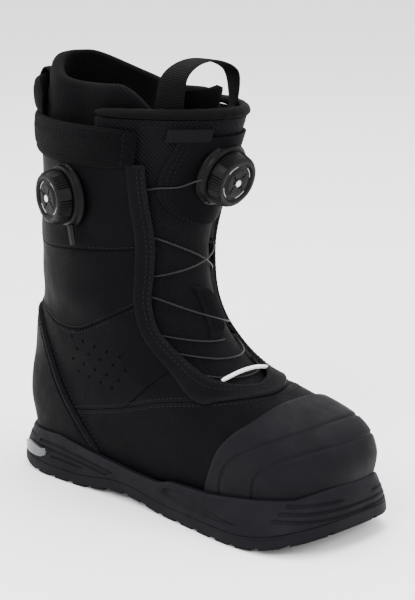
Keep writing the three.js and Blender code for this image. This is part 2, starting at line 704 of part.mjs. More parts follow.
function cable(points, radius) {
  const curve = new THREE.CatmullRomCurve3(points, false, 'centripetal');
  const rings = [];
  const steps = Math.round(1.5 * (points.length - 1));
  let side = new THREE.Vector3(0, 0, 1);
  for (let i = 0; i <= steps; i += 1) {
    const along = curve.getTangent(i / steps);
    side = side.clone().addScaledVector(along, -side.dot(along)).normalize();
    const over = new THREE.Vector3().crossVectors(along, side);
    const centre = curve.getPoint(i / steps);
    rings.push(angles(6).map((a) => centre.clone().addScaledVector(side, radius * Math.cos(a))
      .addScaledVector(over, radius * Math.sin(a))));
  }
  return loft(rings);
}

// Moulded guide under the eyestay edge: a slice of the shell thickness round one turn of cable.
function cableGuide(ports, side, poke, groove) {
  const [first, last] = [ports[0], ports[ports.length - 1]];
  const span = Math.hypot(last[0] - first[0], last[1] - first[1]);
  const rise = span ? 0 : 5.6;
  const face = (out) => (s, t) => {
    const k = span ? (6.8 * t - 3.4) / span + t : 0;
    const x = first[0] + (last[0] - first[0]) * k;
    const z = first[1] + (last[1] - first[1]) * k + rise * (t - 0.5);
    return edgePoint([x, z], side, -guideWidth + 1.2 + (guideWidth - 1.2 + poke) * s, out);
  };
  return toSolid(sheet(face(-0.3), face(-shellThickness - 0.05), 3, 5)).subtract(groove);
}

// Straight sleeve that carries the cable over the lowest part of the tongue.
function toeSleeve() {
  const points = acrossTongue(outerPort(7), innerPort(6), sleeveLift, 6, sleeveClimb).slice(1, 5);
  const tube = toSolid(cable(points, 2));
  return tube.subtract(lowerGroove);
}

// Half-moon plate in the middle of the tongue that two passes of cable run through.
function halfMoon() {
  const face = (out) => (s, t) => {
    const arc = Math.sqrt(Math.max(0.1, 1 - (2 * t - 1) ** 2));
    const from = Math.PI - 0.3 + 0.2 * arc;
    const to = Math.PI - 0.2 + 0.5 * arc;
    return skin(levelFor(halfMoonHeight - 15 + 30 * t) - 0.15, from + (to - from) * s, out);
  };
  const plate = toSolid(sheet(face(-0.2), face(-shellThickness - 0.05), 5, 8));
  return plate.subtract(upperGroove).subtract(lowerGroove);
}

// ---------------------------------------------------------------- dials
function place(geometry, frame) {
  const turnTo = new THREE.Quaternion().setFromUnitVectors(new THREE.Vector3(0, 0, 1), frame.axis);
  return geometry.applyMatrix4(new THREE.Matrix4().compose(frame.spot, turnTo, new THREE.Vector3(1, 1, 1)));
}

function turned(profile, segments = 28) {
  const closed = [...profile, profile[0]].map(([r, z]) => new THREE.Vector2(r, z));
  const lathe = new THREE.LatheGeometry(closed, segments).rotateX(Math.PI / 2);
  const bare = new THREE.BufferGeometry();
  bare.setAttribute('position', lathe.getAttribute('position'));
  bare.setIndex(lathe.index);
  const welded = mergeVertices(bare, 1e-4);
  const array = welded.index.array;
  const keep = [];
  for (let i = 0; i < array.length; i += 3) {
    const [a, b, c] = [array[i], array[i + 1], array[i + 2]];
    if (a !== b && b !== c && a !== c) keep.push([a, b, c]);
  }
  const position = welded.getAttribute('position');
  const points = Array.from({ length: position.count },
    (_, i) => new THREE.Vector3().fromBufferAttribute(position, i));
  return geometryFrom(points, keep);
}

const dialFloor = 1.4;
const spoolTop = 6.1;
const knobSkirt = 4.6;
const dialPostTop = 11.6;
const knobTop = knobSkirt + knobHeight;

function dialBase(frame, groove) {
  const profile = [[0, -9], [dialBaseRadius, -9], [dialBaseRadius, 2.4], [dialBaseRadius - 1.2, 3.8],
    [spoolRadius + 3, 3.8], [spoolRadius + 2.4, 7], [spoolRadius + sitGap, 7],
    [spoolRadius + sitGap, dialFloor],
    [dialPostRadius, dialFloor], [dialPostRadius, dialPostTop], [0, dialPostTop]];
  return toSolid(place(turned(profile), frame)).subtract(groove);
}

function dialSpool() {
  return turned([[dialPostRadius + sitGap, dialFloor + sitGap], [spoolRadius, dialFloor + sitGap],
    [spoolRadius, 2.7], [8, 3.1], [8, 4.9], [spoolRadius, 5.3], [spoolRadius, spoolTop],
    [dialPostRadius + sitGap, spoolTop]], 20);
}

function dialCarrier() {
  return turned([[dialPostRadius + sitGap, spoolTop + sitGap], [7, spoolTop + sitGap], [7, spoolTop + 2.2],
    [5.2, spoolTop + 2.2], [5.2, dialPostTop], [dialPostRadius + sitGap, dialPostTop]], 18);
}

// Knob drum: ribbed in three groups round its rim, hollow underneath, bored for the carrier.
function dialKnob() {
  const count = 48;
  const rim = (i) => {
    const a = 360 * i / count;
    const group = a % 60;
    const ribbed = group > 14 && group < 46;
    return ribbed ? (i % 2 ? 0.5 : -0.55) : 0.1;
  };
  const ring = (radius, z, ripple) => Array.from({ length: count }, (_, i) => {
    const r = radius + ripple * rim(i);
    const a = 2 * Math.PI * i / count;
    return new THREE.Vector3(r * Math.cos(a), r * Math.sin(a), z);
  });
  let solid = toSolid(loft([ring(knobRadius - 0.6, knobSkirt, 1), ring(knobRadius, knobSkirt + 1.2, 1),
    ring(knobRadius - 0.7, knobTop - 2.2, 1), ring(knobRadius - 2, knobTop, 0.2)]));
  const cut = (profile) => toSolid(turned(profile, 24));
  solid = solid.subtract(cut([[0, 0], [spoolRadius + 3.5, 0], [spoolRadius + 3.2, spoolTop + 2.9],
    [0, spoolTop + 2.9]]));
  solid = solid.subtract(cut([[0, 0], [5.2 + sitGap, 0], [5.2 + sitGap, dialPostTop + 0.4],
    [0, dialPostTop + 0.4]]));
  solid = solid.subtract(cut([[0, knobTop - 1.7], [13.2, knobTop - 1.7], [13.6, knobTop + 2],
    [0, knobTop + 2]]));
  return toGeometry(solid);
}

function dialFace() {
  const disc = toSolid(turned([[2.9, knobTop - 1.35], [12.8, knobTop - 1.35], [12.8, knobTop + 0.2],
    [11.6, knobTop + 0.9], [2.9, knobTop + 0.9]], 28));
  let solid = disc;
  for (let i = 0; i < 4; i += 1) {
    const slot = Manifold.cube([4.6, 1.5, 4], true).translate([6.6, 0, knobTop + 1.2])
      .rotate([0, 0, 45 + 90 * i]);
    solid = solid.subtract(slot);
  }
  return toGeometry(solid);
}

function dialPin() {
  return turned([[0, knobTop - 1.3], [2.5, knobTop - 1.3], [2.5, knobTop + 0.4], [1.9, knobTop + 0.8],
    [0, knobTop + 0.8]], 20);
}

// Short spout under the side dial that leads its cable down into the shell.
function dialOutlet() {
  const { spot, axis } = dialFrame('side');
  const start = spot.clone().addScaledVector(axis, 2.2).add(new THREE.Vector3(7, 0, -dialBaseRadius + 1.4));
  const along = new THREE.Vector3(0.22, 0, -1);
  const points = [0, 5, 10, 14].map((d) => start.clone().addScaledVector(along, d));
  return toSolid(cable(points, 2.3));
}

function addDial(prefix, frame, groove, keepOut) {
  const base = dialBase(frame, groove).subtract(keepOut);
  add(`${prefix}_base`, toGeometry(base), colour.plastic, 0.5);
  add(`${prefix}_spool`, place(dialSpool(), frame), colour.plastic, 0.5);
  add(`${prefix}_carrier`, place(dialCarrier(), frame), colour.plastic, 0.45);
  add(`${prefix}_knob`, place(dialKnob(), frame), colour.plastic, 0.45);
  add(`${prefix}_face`, place(dialFace(), frame), colour.plastic, 0.3);
  add(`${prefix}_pin`, place(dialPin(), frame), colour.bright, 0.35, 1);
}

// ---------------------------------------------------------------- the boot
const upperPath = upperCablePath();
const lowerPath = lowerCablePath();
const upperGroove = toSolid(cable(upperPath, cableRadius + sitGap));
const lowerGroove = toSolid(cable(lowerPath, cableRadius + sitGap));

function buildSole() {
  const windows = [heelWindow(-1, sitGap), heelWindow(1, sitGap)].map(toSolid);
  let midsole = midsoleSolid();
  for (const window of windows) midsole = midsole.subtract(window);
  add('outsole', outsole(), colour.rubber, 0.75);
  add('midsole', toGeometry(midsole), colour.rubber, 0.7);
  add('heel_window_outer', heelWindow(-1, 0), colour.bright, 0.2, 0.6);
  add('heel_window_inner', heelWindow(1, 0), colour.bright, 0.2, 0.6);
}

function buildShell() {
  const parts = shellParts();
  add('vamp', toGeometry(parts.vamp), colour.upper, 0.7);
  add('quarter_outer', toGeometry(parts.quarterOuter), colour.upper, 0.7);
  add('quarter_inner', toGeometry(parts.quarterInner), colour.upper, 0.7);
  add('heel_counter', toGeometry(overlay([...counterEdge, [-175, 10]], capThickness)), colour.rubber, 0.7);
  const cap = overlay([...toeCapEdge, [175, 110], [175, 10]], capThickness);
  add('toe_cap', toGeometry(cap), colour.rubber, 0.7);
  add('eyestay_outer', toGeometry(eyestay(-1)), colour.upper, 0.7);
  add('eyestay_inner', toGeometry(eyestay(1)), colour.upper, 0.7);
  add('collar_outer', collar(-1), colour.knit, 0.95);
  add('collar_inner', collar(1), colour.knit, 0.95);
  add('achilles_flap', achillesFlap(), colour.knit, 0.95);
  add('heel_loop', heelLoop(), colour.webbing, 0.9);
}

function buildTongue() {
  const out = -shellThickness - 1.4 * sitGap;
  const tongue = toSolid(sheet(tongueFace(out), tongueFace(out - tongueThickness), 20, 20));
  add('tongue', toGeometry(tongue, 0.12), colour.knit, 0.9);
  add('tongue_binding', tongueBinding(), colour.upper, 0.8);
  add('tongue_patch', tonguePatch(), colour.upper, 0.7);
  add('tongue_label', label(), colour.bright, 0.5);
  add('tongue_loop', tongueLoop(), colour.webbing, 0.9);
}

function buildLiner() {
  add('liner_boot', toGeometry(linerBoot(), 0.3), colour.foam, 0.95);
  const linerTongue = sheet(linerTongueFace(0), linerTongueFace(linerTongueThickness), 10, 11);
  add('liner_tongue', linerTongue, colour.knit, 0.95);
  add('footbed', footbed(), colour.board, 0.9);
  add('lasting_board', lastingBoard(), colour.board, 0.9);
}

function buildCables() {
  add('upper_cable', cable(upperPath, cableRadius), colour.lace, 0.5, 0.3);
  add('lower_cable', cable(lowerPath, cableRadius), colour.lace, 0.5, 0.3);
  const guide = (name, ports, side, poke, groove) => {
    add(name, toGeometry(cableGuide(ports, side, poke, groove)), colour.plastic, 0.5);
  };
  guide('guide_outer_1', [outerPorts[0], outerPorts[1]], -1, -0.6, upperGroove);
  guide('guide_outer_2', [outerPorts[2], outerPorts[3]], -1, -0.6, upperGroove);
  guide('guide_outer_3', [outerPorts[4], outerPorts[5]], -1, -0.6, lowerGroove);
  guide('guide_outer_4', [outerPorts[6], outerPorts[7]], -1, -0.6, lowerGroove);
  guide('guide_inner_1', [innerPorts[0], innerPorts[1]], 1, 1.5, upperGroove);
  guide('guide_inner_2', [innerPorts[2], innerPorts[3]], 1, 1.5, upperGroove);
  guide('guide_inner_3', [innerPorts[4], innerPorts[5]], 1, 1.5, lowerGroove);
  guide('guide_inner_4', [innerPorts[6]], 1, 1.5, lowerGroove);
  add('toe_cable_sleeve', toGeometry(toeSleeve()), colour.bright, 0.4);
  add('tongue_half_moon', toGeometry(halfMoon()), colour.plastic, 0.5);
}

function buildDials() {
  addDial('tongue_dial', dialFrame('tongue'), upperGroove, skinBlock(-shellThickness + 1.95 + sitGap));
  addDial('side_dial', dialFrame('side'), upperGroove, skinBlock(sitGap));
  const side = dialFrame('side');
  const reach = dialBaseRadius + sitGap;
  const room = toSolid(place(turned([[0, -20], [reach, -20], [reach, 20], [0, 20]]), side));
  const outlet = dialOutlet().subtract(room).subtract(skinBlock(sitGap));
  add('side_dial_outlet', toGeometry(outlet), colour.plastic, 0.5);
}

buildSole();
buildShell();
buildTongue();
buildLiner();
buildCables();
buildDials();

// The middle of the footprint, on the ground, is the origin.
const bounds = new THREE.Box3().setFromObject(boot);
const middle = bounds.getCenter(new THREE.Vector3());
for (const mesh of boot.children) mesh.geometry.translate(-middle.x, -middle.y, -bounds.min.z);

export default boot;
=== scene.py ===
"""Snowboard boot: builds the visible pieces, materials, stage and camera round the packed frame."""

import math

import bpy
import numpy as np
from bpy.props import FloatProperty, FloatVectorProperty, IntProperty, PointerProperty
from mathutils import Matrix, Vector


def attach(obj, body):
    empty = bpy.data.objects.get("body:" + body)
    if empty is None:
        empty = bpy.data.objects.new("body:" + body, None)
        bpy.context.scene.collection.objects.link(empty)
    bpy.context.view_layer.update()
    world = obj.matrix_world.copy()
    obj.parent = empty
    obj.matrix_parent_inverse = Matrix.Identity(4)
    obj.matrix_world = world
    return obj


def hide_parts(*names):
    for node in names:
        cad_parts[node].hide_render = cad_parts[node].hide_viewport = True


bl_info = {
    "name": "Snowboard boot",
    "version": (1, 0, 0),
    "blender": (4, 5, 0),
    "location": "View3D > Sidebar > Boot",
    "description": "Builds the visible pieces of a dial-laced snowboard boot",
    "category": "Add Mesh",
}

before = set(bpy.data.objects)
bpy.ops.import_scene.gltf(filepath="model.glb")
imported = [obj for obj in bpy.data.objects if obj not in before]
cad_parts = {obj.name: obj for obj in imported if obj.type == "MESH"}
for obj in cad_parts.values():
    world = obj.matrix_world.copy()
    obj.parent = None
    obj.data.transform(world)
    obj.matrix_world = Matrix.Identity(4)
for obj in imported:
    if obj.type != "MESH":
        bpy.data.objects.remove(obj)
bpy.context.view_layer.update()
MM = 0.001
BODY = "boot"
FRAME_SHIFT = np.array([0.4397, 5.7248, 0.0])

# ------------------------------------------------------------------ boot skin
# Rows: height back, height front, back x, front x, half breadth rear, middle, front, squareness, lean.
STATIONS = np.array([
    [18, 26, -143, 141, 42, 43, 50, 2.6, 10], [36, 42, -147, 146, 43, 45, 52, 2.6, 10],
    [54, 60, -151, 148, 44, 46, 53, 2.6, 10], [72, 76, -150, 137, 44, 46, 50, 2.6, 10],
    [90, 87, -147, 103, 43, 45, 46, 2.5, 9], [112, 96, -143, 64, 43, 44, 43, 2.5, 7],
    [134, 114, -140, 42, 44, 45, 41, 2.35, 4], [156, 146, -138, 21, 46, 48, 43, 2.2, 1],
    [185, 185, -137, 15, 50, 52, 46, 2.1, 0], [220, 220, -135, 26, 52, 56, 50, 2.1, 0],
    [255, 255, -137, 40, 54, 60, 54, 2.1, 0], [290, 290, -141, 53, 56, 63, 57, 2.1, 0]], float)
TOP = len(STATIONS) - 1
SOLE_TOP = [(-170, 29), (-138, 29), (-94, 34), (-49, 29.5), (-10, 25.5), (12, 24.2), (17, 24.6), (25, 27.4),
            (63, 27.5), (102, 31.5), (128, 35), (140, 41), (147, 44.5), (170, 46)]
VAMP_SEAM = [(-200, 36), (-175, 40), (-120, 48), (-91, 54), (-24, 70), (11, 81), (52, 89), (95, 96), (180, 110)]
COUNTER_EDGE = [(-44, -20), (-47, 10), (-50, 29), (-65, 45), (-86, 67), (-104, 90), (-117, 112),
                (-130, 123), (-175, 128), (-220, 131)]
TOE_CAP_EDGE = [(55, -20), (55, 10), (56, 28), (63, 47), (70, 61), (80, 73), (92, 84), (97, 110), (100, 150)]
THROAT_SIDE = [(150, 72), (96, 72), (72, 84), (52, 93), (36, 101), (18, 114), (2, 129), (-5, 147), (-5, 170),
               (-3, 200), (-1, 235), (5, 278), (10, 310), (14, 340)]
THROAT_PLAN = [(-200, 95), (20, 70), (48, 36), (60, 23), (66, 13), (68.5, 4), (68.5, 2), (66, -7), (60, -17),
               (48, -30), (20, -64), (-200, -89)]
OUTER_PORTS = [(-1, 230), (-3, 194), (-5, 167), (-5, 152), (5, 126), (17, 115), (33, 103), (46, 96)]
INNER_PORTS = [(-1, 230), (-4, 186), (-5, 163), (4, 127), (16, 116), (31, 104), (46, 96)]


def bend(value, power):
    return np.sign(value) * np.abs(value) ** power


def station(v):
    """Interpolated station row for each level."""
    k = np.clip(np.asarray(v, float), 0, TOP)
    i = np.minimum(np.floor(k).astype(int), TOP - 1)
    t = (k - i)[..., None]
    p0, p1, p2, p3 = (STATIONS[np.clip(i + d, 0, TOP)] for d in (-1, 0, 1, 2))
    return 0.5 * (2 * p1 + (p2 - p0) * t + (2 * p0 - 5 * p1 + 4 * p2 - p3) * t * t
                  + (3 * p1 - p0 - 3 * p2 + p3) * t ** 3)


def breadth(u, rear, middle, front):
    return (rear * (u - 0.5) * (u - 0.8) / 0.18 - middle * (u - 0.2) * (u - 0.8) / 0.09
            + front * (u - 0.2) * (u - 0.5) / 0.18)


def skin_point(v, theta):
    v, theta = np.broadcast_arrays(np.asarray(v, float), np.asarray(theta, float))
    zb, zf, xb, xf, rear, middle, front, square, lean = np.moveaxis(station(v), -1, 0)
    u = (1 - bend(np.cos(theta), 2 / square)) / 2
    cap = bend(np.sin(theta), 2 / square)
    y = -cap * breadth(u, rear, middle, front) + lean * u * u
    return np.stack([xb + (xf - xb) * u, y, zb + (zf - zb) * u], -1)


def least(*values):
    return np.minimum.reduce(np.broadcast_arrays(*values))


def unit(vectors):
    length = np.linalg.norm(vectors, axis=-1, keepdims=True)
    return vectors / np.maximum(length, 1e-9)


def skin_normal(v, theta):
    rise = skin_point(v + 0.06, theta) - skin_point(v - 0.06, theta)
    run = skin_point(v, theta - 0.05) - skin_point(v, theta + 0.05)
    return unit(np.cross(rise, run))


def skin(v, theta, out=0.0):
    """Points on the boot skin moved outward.  theta: 0 back, pi/2 outer side, pi toe."""
    v, theta = np.broadcast_arrays(np.asarray(v, float), np.asarray(theta, float))
    out = np.broadcast_to(np.asarray(out, float), v.shape)
    return skin_point(v, theta) + skin_normal(v, theta) * out[..., None]


def locate(x, z, side):
    """Level and angle of the skin point at x and height z on one side (-1 outer, 1 inner)."""
    x, z = np.broadcast_arrays(np.asarray(x, float), np.asarray(z, float))
    low, high = np.zeros(x.shape), np.full(x.shape, float(TOP))

    def angle(v):
        row = station(v)
        u = np.clip((x - row[..., 2]) / (row[..., 3] - row[..., 2]), 0, 1)
        return np.arccos(bend(1 - 2 * u, row[..., 7] / 2))

    for _ in range(40):
        v = (low + high) / 2
        under = skin_point(v, angle(v))[..., 2] < z
        low, high = np.where(under, v, low), np.where(under, high, v)
    theta = angle(low)
    return low, theta if side < 0 else 2 * math.pi - theta


def level_for(z):
    return float(locate(-60, z, -1)[0])


def smooth(a, b, x):
    t = np.clip((np.asarray(x, float) - a) / (b - a), 0, 1)
    return t * t * (3 - 2 * t)


# ------------------------------------------------------------------ lines and fields
def spline(points, count, closed=False):
    """Evenly drawn Catmull-Rom curve through the points (centripetal spacing)."""
    p = np.asarray(points, float)
    if closed:
        p = np.vstack([p[-1], p, p[0], p[1]])
    else:
        p = np.vstack([2 * p[0] - p[1], p, 2 * p[-1] - p[-2]])
    spans = len(p) - 3
    out = []
    for g in np.linspace(0, spans, count, endpoint=not closed):
        i = min(int(g), spans - 1)
        q = p[i:i + 4]
        d = np.maximum(np.linalg.norm(np.diff(q, axis=0), axis=1) ** 0.5, 1e-4)
        m1 = d[1] * ((q[1] - q[0]) / d[0] - (q[2] - q[0]) / (d[0] + d[1]) + (q[2] - q[1]) / d[1])
        m2 = d[1] * ((q[2] - q[1]) / d[1] - (q[3] - q[1]) / (d[1] + d[2]) + (q[3] - q[2]) / d[2])
        t = g - i
        out.append((2 * t ** 3 - 3 * t * t + 1) * q[1] + (t ** 3 - 2 * t * t + t) * m1
                   + (3 * t * t - 2 * t ** 3) * q[2] + (t ** 3 - t * t) * m2)
    return np.array(out)


def resample(points, step):
    """Points every step along a line, with unit tangents."""
    points = np.asarray(points, float)
    run = np.concatenate([[0], np.cumsum(np.linalg.norm(np.diff(points, axis=0), axis=1))])
    count = max(2, int(run[-1] / step) + 1)
    at = np.linspace(0, run[-1], count)
    line = np.stack([np.interp(at, run, points[:, k]) for k in range(points.shape[1])], 1)
    return line, unit(np.gradient(line, axis=0))


def beside(line, q):
    """Signed distance of plane points from a line: positive on its left."""
    line = np.asarray(line, float)
    best = np.full(len(q), 1e9)
    sign = np.ones(len(q))
    for a, b in zip(line[:-1], line[1:]):
        d = b - a
        t = np.clip(((q - a) @ d) / max(d @ d, 1e-9), 0, 1)
        gap = q - a - t[:, None] * d
        distance = np.linalg.norm(gap, axis=1)
        closer = distance < best
        turn = d[0] * (q[:, 1] - a[1]) - d[1] * (q[:, 0] - a[0])
        best = np.where(closer, distance, best)
        sign = np.where(closer, np.where(turn < 0, -1.0, 1.0), sign)
    return best * sign


def side_field(line, sign=1.0):
    """Distance from a seam drawn in the side view, for (level, theta) pairs."""
    curve = spline(line, 8 * len(line))
    return lambda uv: sign * beside(curve, skin_point(uv[:, 0], uv[:, 1])[:, [0, 2]])


THROAT_CURVE = spline(THROAT_SIDE, 120)
PLAN_CURVE = spline(THROAT_PLAN, 120)


def throat_field(uv):
    """Distance outside the throat opening."""
    p = skin_point(uv[:, 0], uv[:, 1])
    from_side = beside(THROAT_CURVE, p[:, [0, 2]])
    from_plan = beside(PLAN_CURVE, p[:, [0, 1]])
    return 0.5 * (from_side + from_plan + np.hypot(from_side - from_plan, 12.0)) - 0.4


def height_field(z, sign=1.0):
    return lambda uv: sign * (z - skin_point(uv[:, 0], uv[:, 1])[:, 2])


def both(*fields):
    return lambda uv: np.minimum.reduce([f(uv) for f in fields])


# ------------------------------------------------------------------ meshes
class Patch:
    """Grid of (level, theta) cells that seams and grooves can be cut into."""

    def __init__(self, levels, thetas):
        self.uv = np.array([(v, t) for v in levels for t in thetas], float)
        n = len(thetas)
        self.faces = [(i * n + j, i * n + j + 1, (i + 1) * n + j + 1, (i + 1) * n + j)
                      for i in range(len(levels) - 1) for j in range(n - 1)]

    def cut(self, field, level=0.0, drop=False):
        value = field(self.uv) - level
        value[np.abs(value) < 1e-6] = 1e-6
        inside = value > 0
        made, ends, faces = {}, [], []
        for face in self.faces:
            states = [inside[i] for i in face]
            if all(states):
                faces.append(face)
                continue
            if not any(states):
                if not drop:
                    faces.append(face)
                continue
            plus, minus = [], []
            for a, b in zip(face, face[1:] + face[:1]):
                (plus if inside[a] else minus).append(a)
                if inside[a] != inside[b]:
                    key = (min(a, b), max(a, b))
                    if key not in made:
                        made[key] = len(self.uv) + len(ends)
                        ends.append(key)
                    plus.append(made[key])
                    minus.append(made[key])
            faces.append(tuple(plus))
            if not drop:
                faces.append(tuple(minus))
        if ends:
            a, b = np.array(ends).T
            pa, pb, va, vb = self.uv[a], self.uv[b], value[a], value[b]
            t = va / (va - vb)
            for _ in range(2):
                middle = field(pa + (pb - pa) * t[:, None]) - level
                same = (middle > 0) == (va > 0)
                low, high = np.where(same, t, 0), np.where(same, 1, t)
                f0, f1 = np.where(same, middle, va), np.where(same, vb, middle)
                t = low + (high - low) * np.clip(f0 / np.where(np.abs(f0 - f1) < 1e-9, 1, f0 - f1), 0.02, 0.98)
            self.uv = np.vstack([self.uv, pa + (pb - pa) * t[:, None]])
        self.faces = faces
        used = np.unique([i for face in faces for i in face])
        back = np.full(len(self.uv), -1)
        back[used] = np.arange(len(used))
        self.uv = self.uv[used]
        self.faces = [tuple(int(back[i]) for i in face) for face in faces]
        return self

    def rings(self, field, levels):
        """Lines in the mesh at several distances from a seam, so its rounding has real edges."""
        for level in levels:
            self.cut(field, level)
        return self


def trace(field, level, levels, thetas):
    """Lines where the field has one value, as lists of (level, theta)."""
    grid = np.array([[(v, t) for t in thetas] for v in levels], float)
    value = field(grid.reshape(-1, 2)).reshape(grid.shape[:2]) - level
    plus = value > 0
    links, spots = {}, {}
    mixed = np.argwhere((plus[:-1, :-1] != plus[1:, 1:]) | (plus[1:, :-1] != plus[:-1, 1:])
                        | (plus[:-1, :-1] != plus[1:, :-1]))
    for i, j in mixed:
        corners = [(i, j), (i, j + 1), (i + 1, j + 1), (i + 1, j)]
        hits = []
        for a, b in zip(corners, corners[1:] + corners[:1]):
            if plus[a] != plus[b]:
                key = (min(a, b), max(a, b))
                t = value[key[0]] / (value[key[0]] - value[key[1]])
                spots[key] = grid[key[0]] * (1 - t) + grid[key[1]] * t
                hits.append(key)
        for a, b in zip(hits[::2], hits[1::2]):
            links.setdefault(a, []).append(b)
            links.setdefault(b, []).append(a)
    lines, seen = [], set()
    starts = sorted(links, key=lambda k: len(links[k]))
    for start in starts:
        if start in seen:
            continue
        line, here = [start], start
        seen.add(start)
        while True:
            ahead = [k for k in links[here] if k not in seen]
            if not ahead:
                break
            here = ahead[0]
            seen.add(here)
            line.append(here)
        if len(line) > 3:
            lines.append(np.array([spots[k] for k in line]))
    return lines


def thicken(faces, top, bottom):
    """Closed solid between two matching surfaces."""
    n = len(top)
    once = {}
    for face in faces:
        for a, b in zip(face, face[1:] + face[:1]):
            if (b, a) in once:
                del once[(b, a)]
            else:
                once[(a, b)] = True
    walls = [(b, a, a + n, b + n) for a, b in once]
    under = [tuple(i + n for i in reversed(face)) for face in faces]
    return np.vstack([top, bottom]), list(faces) + under + walls


def new_piece(name, points, faces, material, nodes=(), body=BODY, edge=None, cloth=None, sharp=40):
    """Mesh object from points in millimetres, riding on a body and standing for CAD nodes."""
    mesh = bpy.data.meshes.new(name)
    points = np.asarray(points, float)
    place = (points + FRAME_SHIFT) * MM
    mesh.from_pydata(place.tolist(), [], [tuple(f) for f in faces])
    mesh.update()
    mesh.shade_smooth()
    mesh.set_sharp_from_angle(angle=math.radians(sharp))
    if edge is not None:
        layer = mesh.attributes.new("edge", "FLOAT", "POINT")
        layer.data.foreach_set("value", np.asarray(edge, np.float32))
    if cloth is not None:
        layer = mesh.uv_layers.new(name="cloth")
        loops = np.zeros(len(mesh.loops), np.int32)
        mesh.loops.foreach_get("vertex_index", loops)
        layer.data.foreach_set("uv", np.asarray(cloth, np.float32)[loops].ravel())
    piece = bpy.data.objects.new(name, mesh)
    bpy.context.scene.collection.objects.link(piece)
    mesh.materials.append(material)
    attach(piece, body)
    if nodes:
        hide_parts(*nodes)
    return piece


def grid_faces(rows, columns, closed_rows=False, closed_columns=False):
    faces = []
    for i in range(rows if closed_rows else rows - 1):
        for j in range(columns if closed_columns else columns - 1):
            a, b = i * columns + j, i * columns + (j + 1) % columns
            c, d = ((i + 1) % rows) * columns + (j + 1) % columns, ((i + 1) % rows) * columns + j
            faces.append((a, b, c, d))
    return faces


def outward(piece):
    """Turns the faces of a closed piece outward."""
    import bmesh
    work = bmesh.new()
    work.from_mesh(piece.data)
    bmesh.ops.recalc_face_normals(work, faces=work.faces)
    work.to_mesh(piece.data)
    work.free()
    return piece


def join_meshes(parts):
    points, faces, start = [], [], 0
    for p, f in parts:
        points.append(p)
        faces += [tuple(i + start for i in face) for face in f]
        start += len(p)
    return np.vstack(points), faces


def tube(line, radius, sides=10, ends=True, flat=None, across=None):
    """Round (or flattened) tube along a line of points."""
    line = np.asarray(line, float)
    along = unit(np.gradient(line, axis=0))
    side = np.array([0.0, 0.0, 1.0]) if across is None else np.asarray(across, float)
    angle = np.linspace(0, 2 * math.pi, sides, endpoint=False)
    rings = []
    radius = np.broadcast_to(np.asarray(radius, float), (len(line),))
    for p, t, r in zip(line, along, radius):
        side = unit(side - t * (side @ t))
        over = np.cross(t, side)
        rings.append(p + r * np.cos(angle)[:, None] * side + r * (flat or 1) * np.sin(angle)[:, None] * over)
    faces = grid_faces(len(line), sides, closed_columns=True)
    if ends:
        faces += [tuple(reversed(range(sides))), tuple(range((len(line) - 1) * sides, len(line) * sides))]
    return np.vstack(rings), faces


def stitch_mesh(lines, length=2.5, gap=1.1, radius=0.34, sink=0.1):
    """Sewn thread along lines of (points, normals): one short bead for each stitch."""
    parts = []
    for points, normals in lines:
        spots, tangent = resample(points, length + gap)
        run = np.linspace(0, len(points) - 1, len(spots))
        index = np.clip(run.round().astype(int), 0, len(points) - 1)
        for p, t, n in zip(spots, tangent, np.asarray(normals)[index]):
            at = np.linspace(-0.5, 0.5, 5)[:, None] * length
            swell = np.array([0.45, 0.9, 1.0, 0.9, 0.45])
            drop = np.array([0.8, 0.2, 0.0, 0.2, 0.8])[:, None] * radius
            bead = p + at * t + n * (radius * 0.5 - sink) - n * drop
            parts.append(tube(bead, radius * swell, 5))
    return join_meshes(parts)


def seam_lines(field, level, levels, thetas, out, keep=None, least=12):
    """Lines along a seam on the skin, as points and normals for stitching or piping."""
    found = []
    for line in trace(field, level, levels, thetas):
        if keep is not None:
            good = keep(line)
            runs = np.split(np.arange(len(line)), np.flatnonzero(np.diff(good.astype(int))) + 1)
            pieces = [line[r] for r in runs if good[r[0]] and len(r) > 3]
        else:
            pieces = [line]
        for part in pieces:
            points = skin(part[:, 0], part[:, 1], out)
            size = np.linalg.norm(np.diff(points, axis=0), axis=1).sum()
            if size > least:
                found.append((points, skin_normal(part[:, 0], part[:, 1])))
    return found


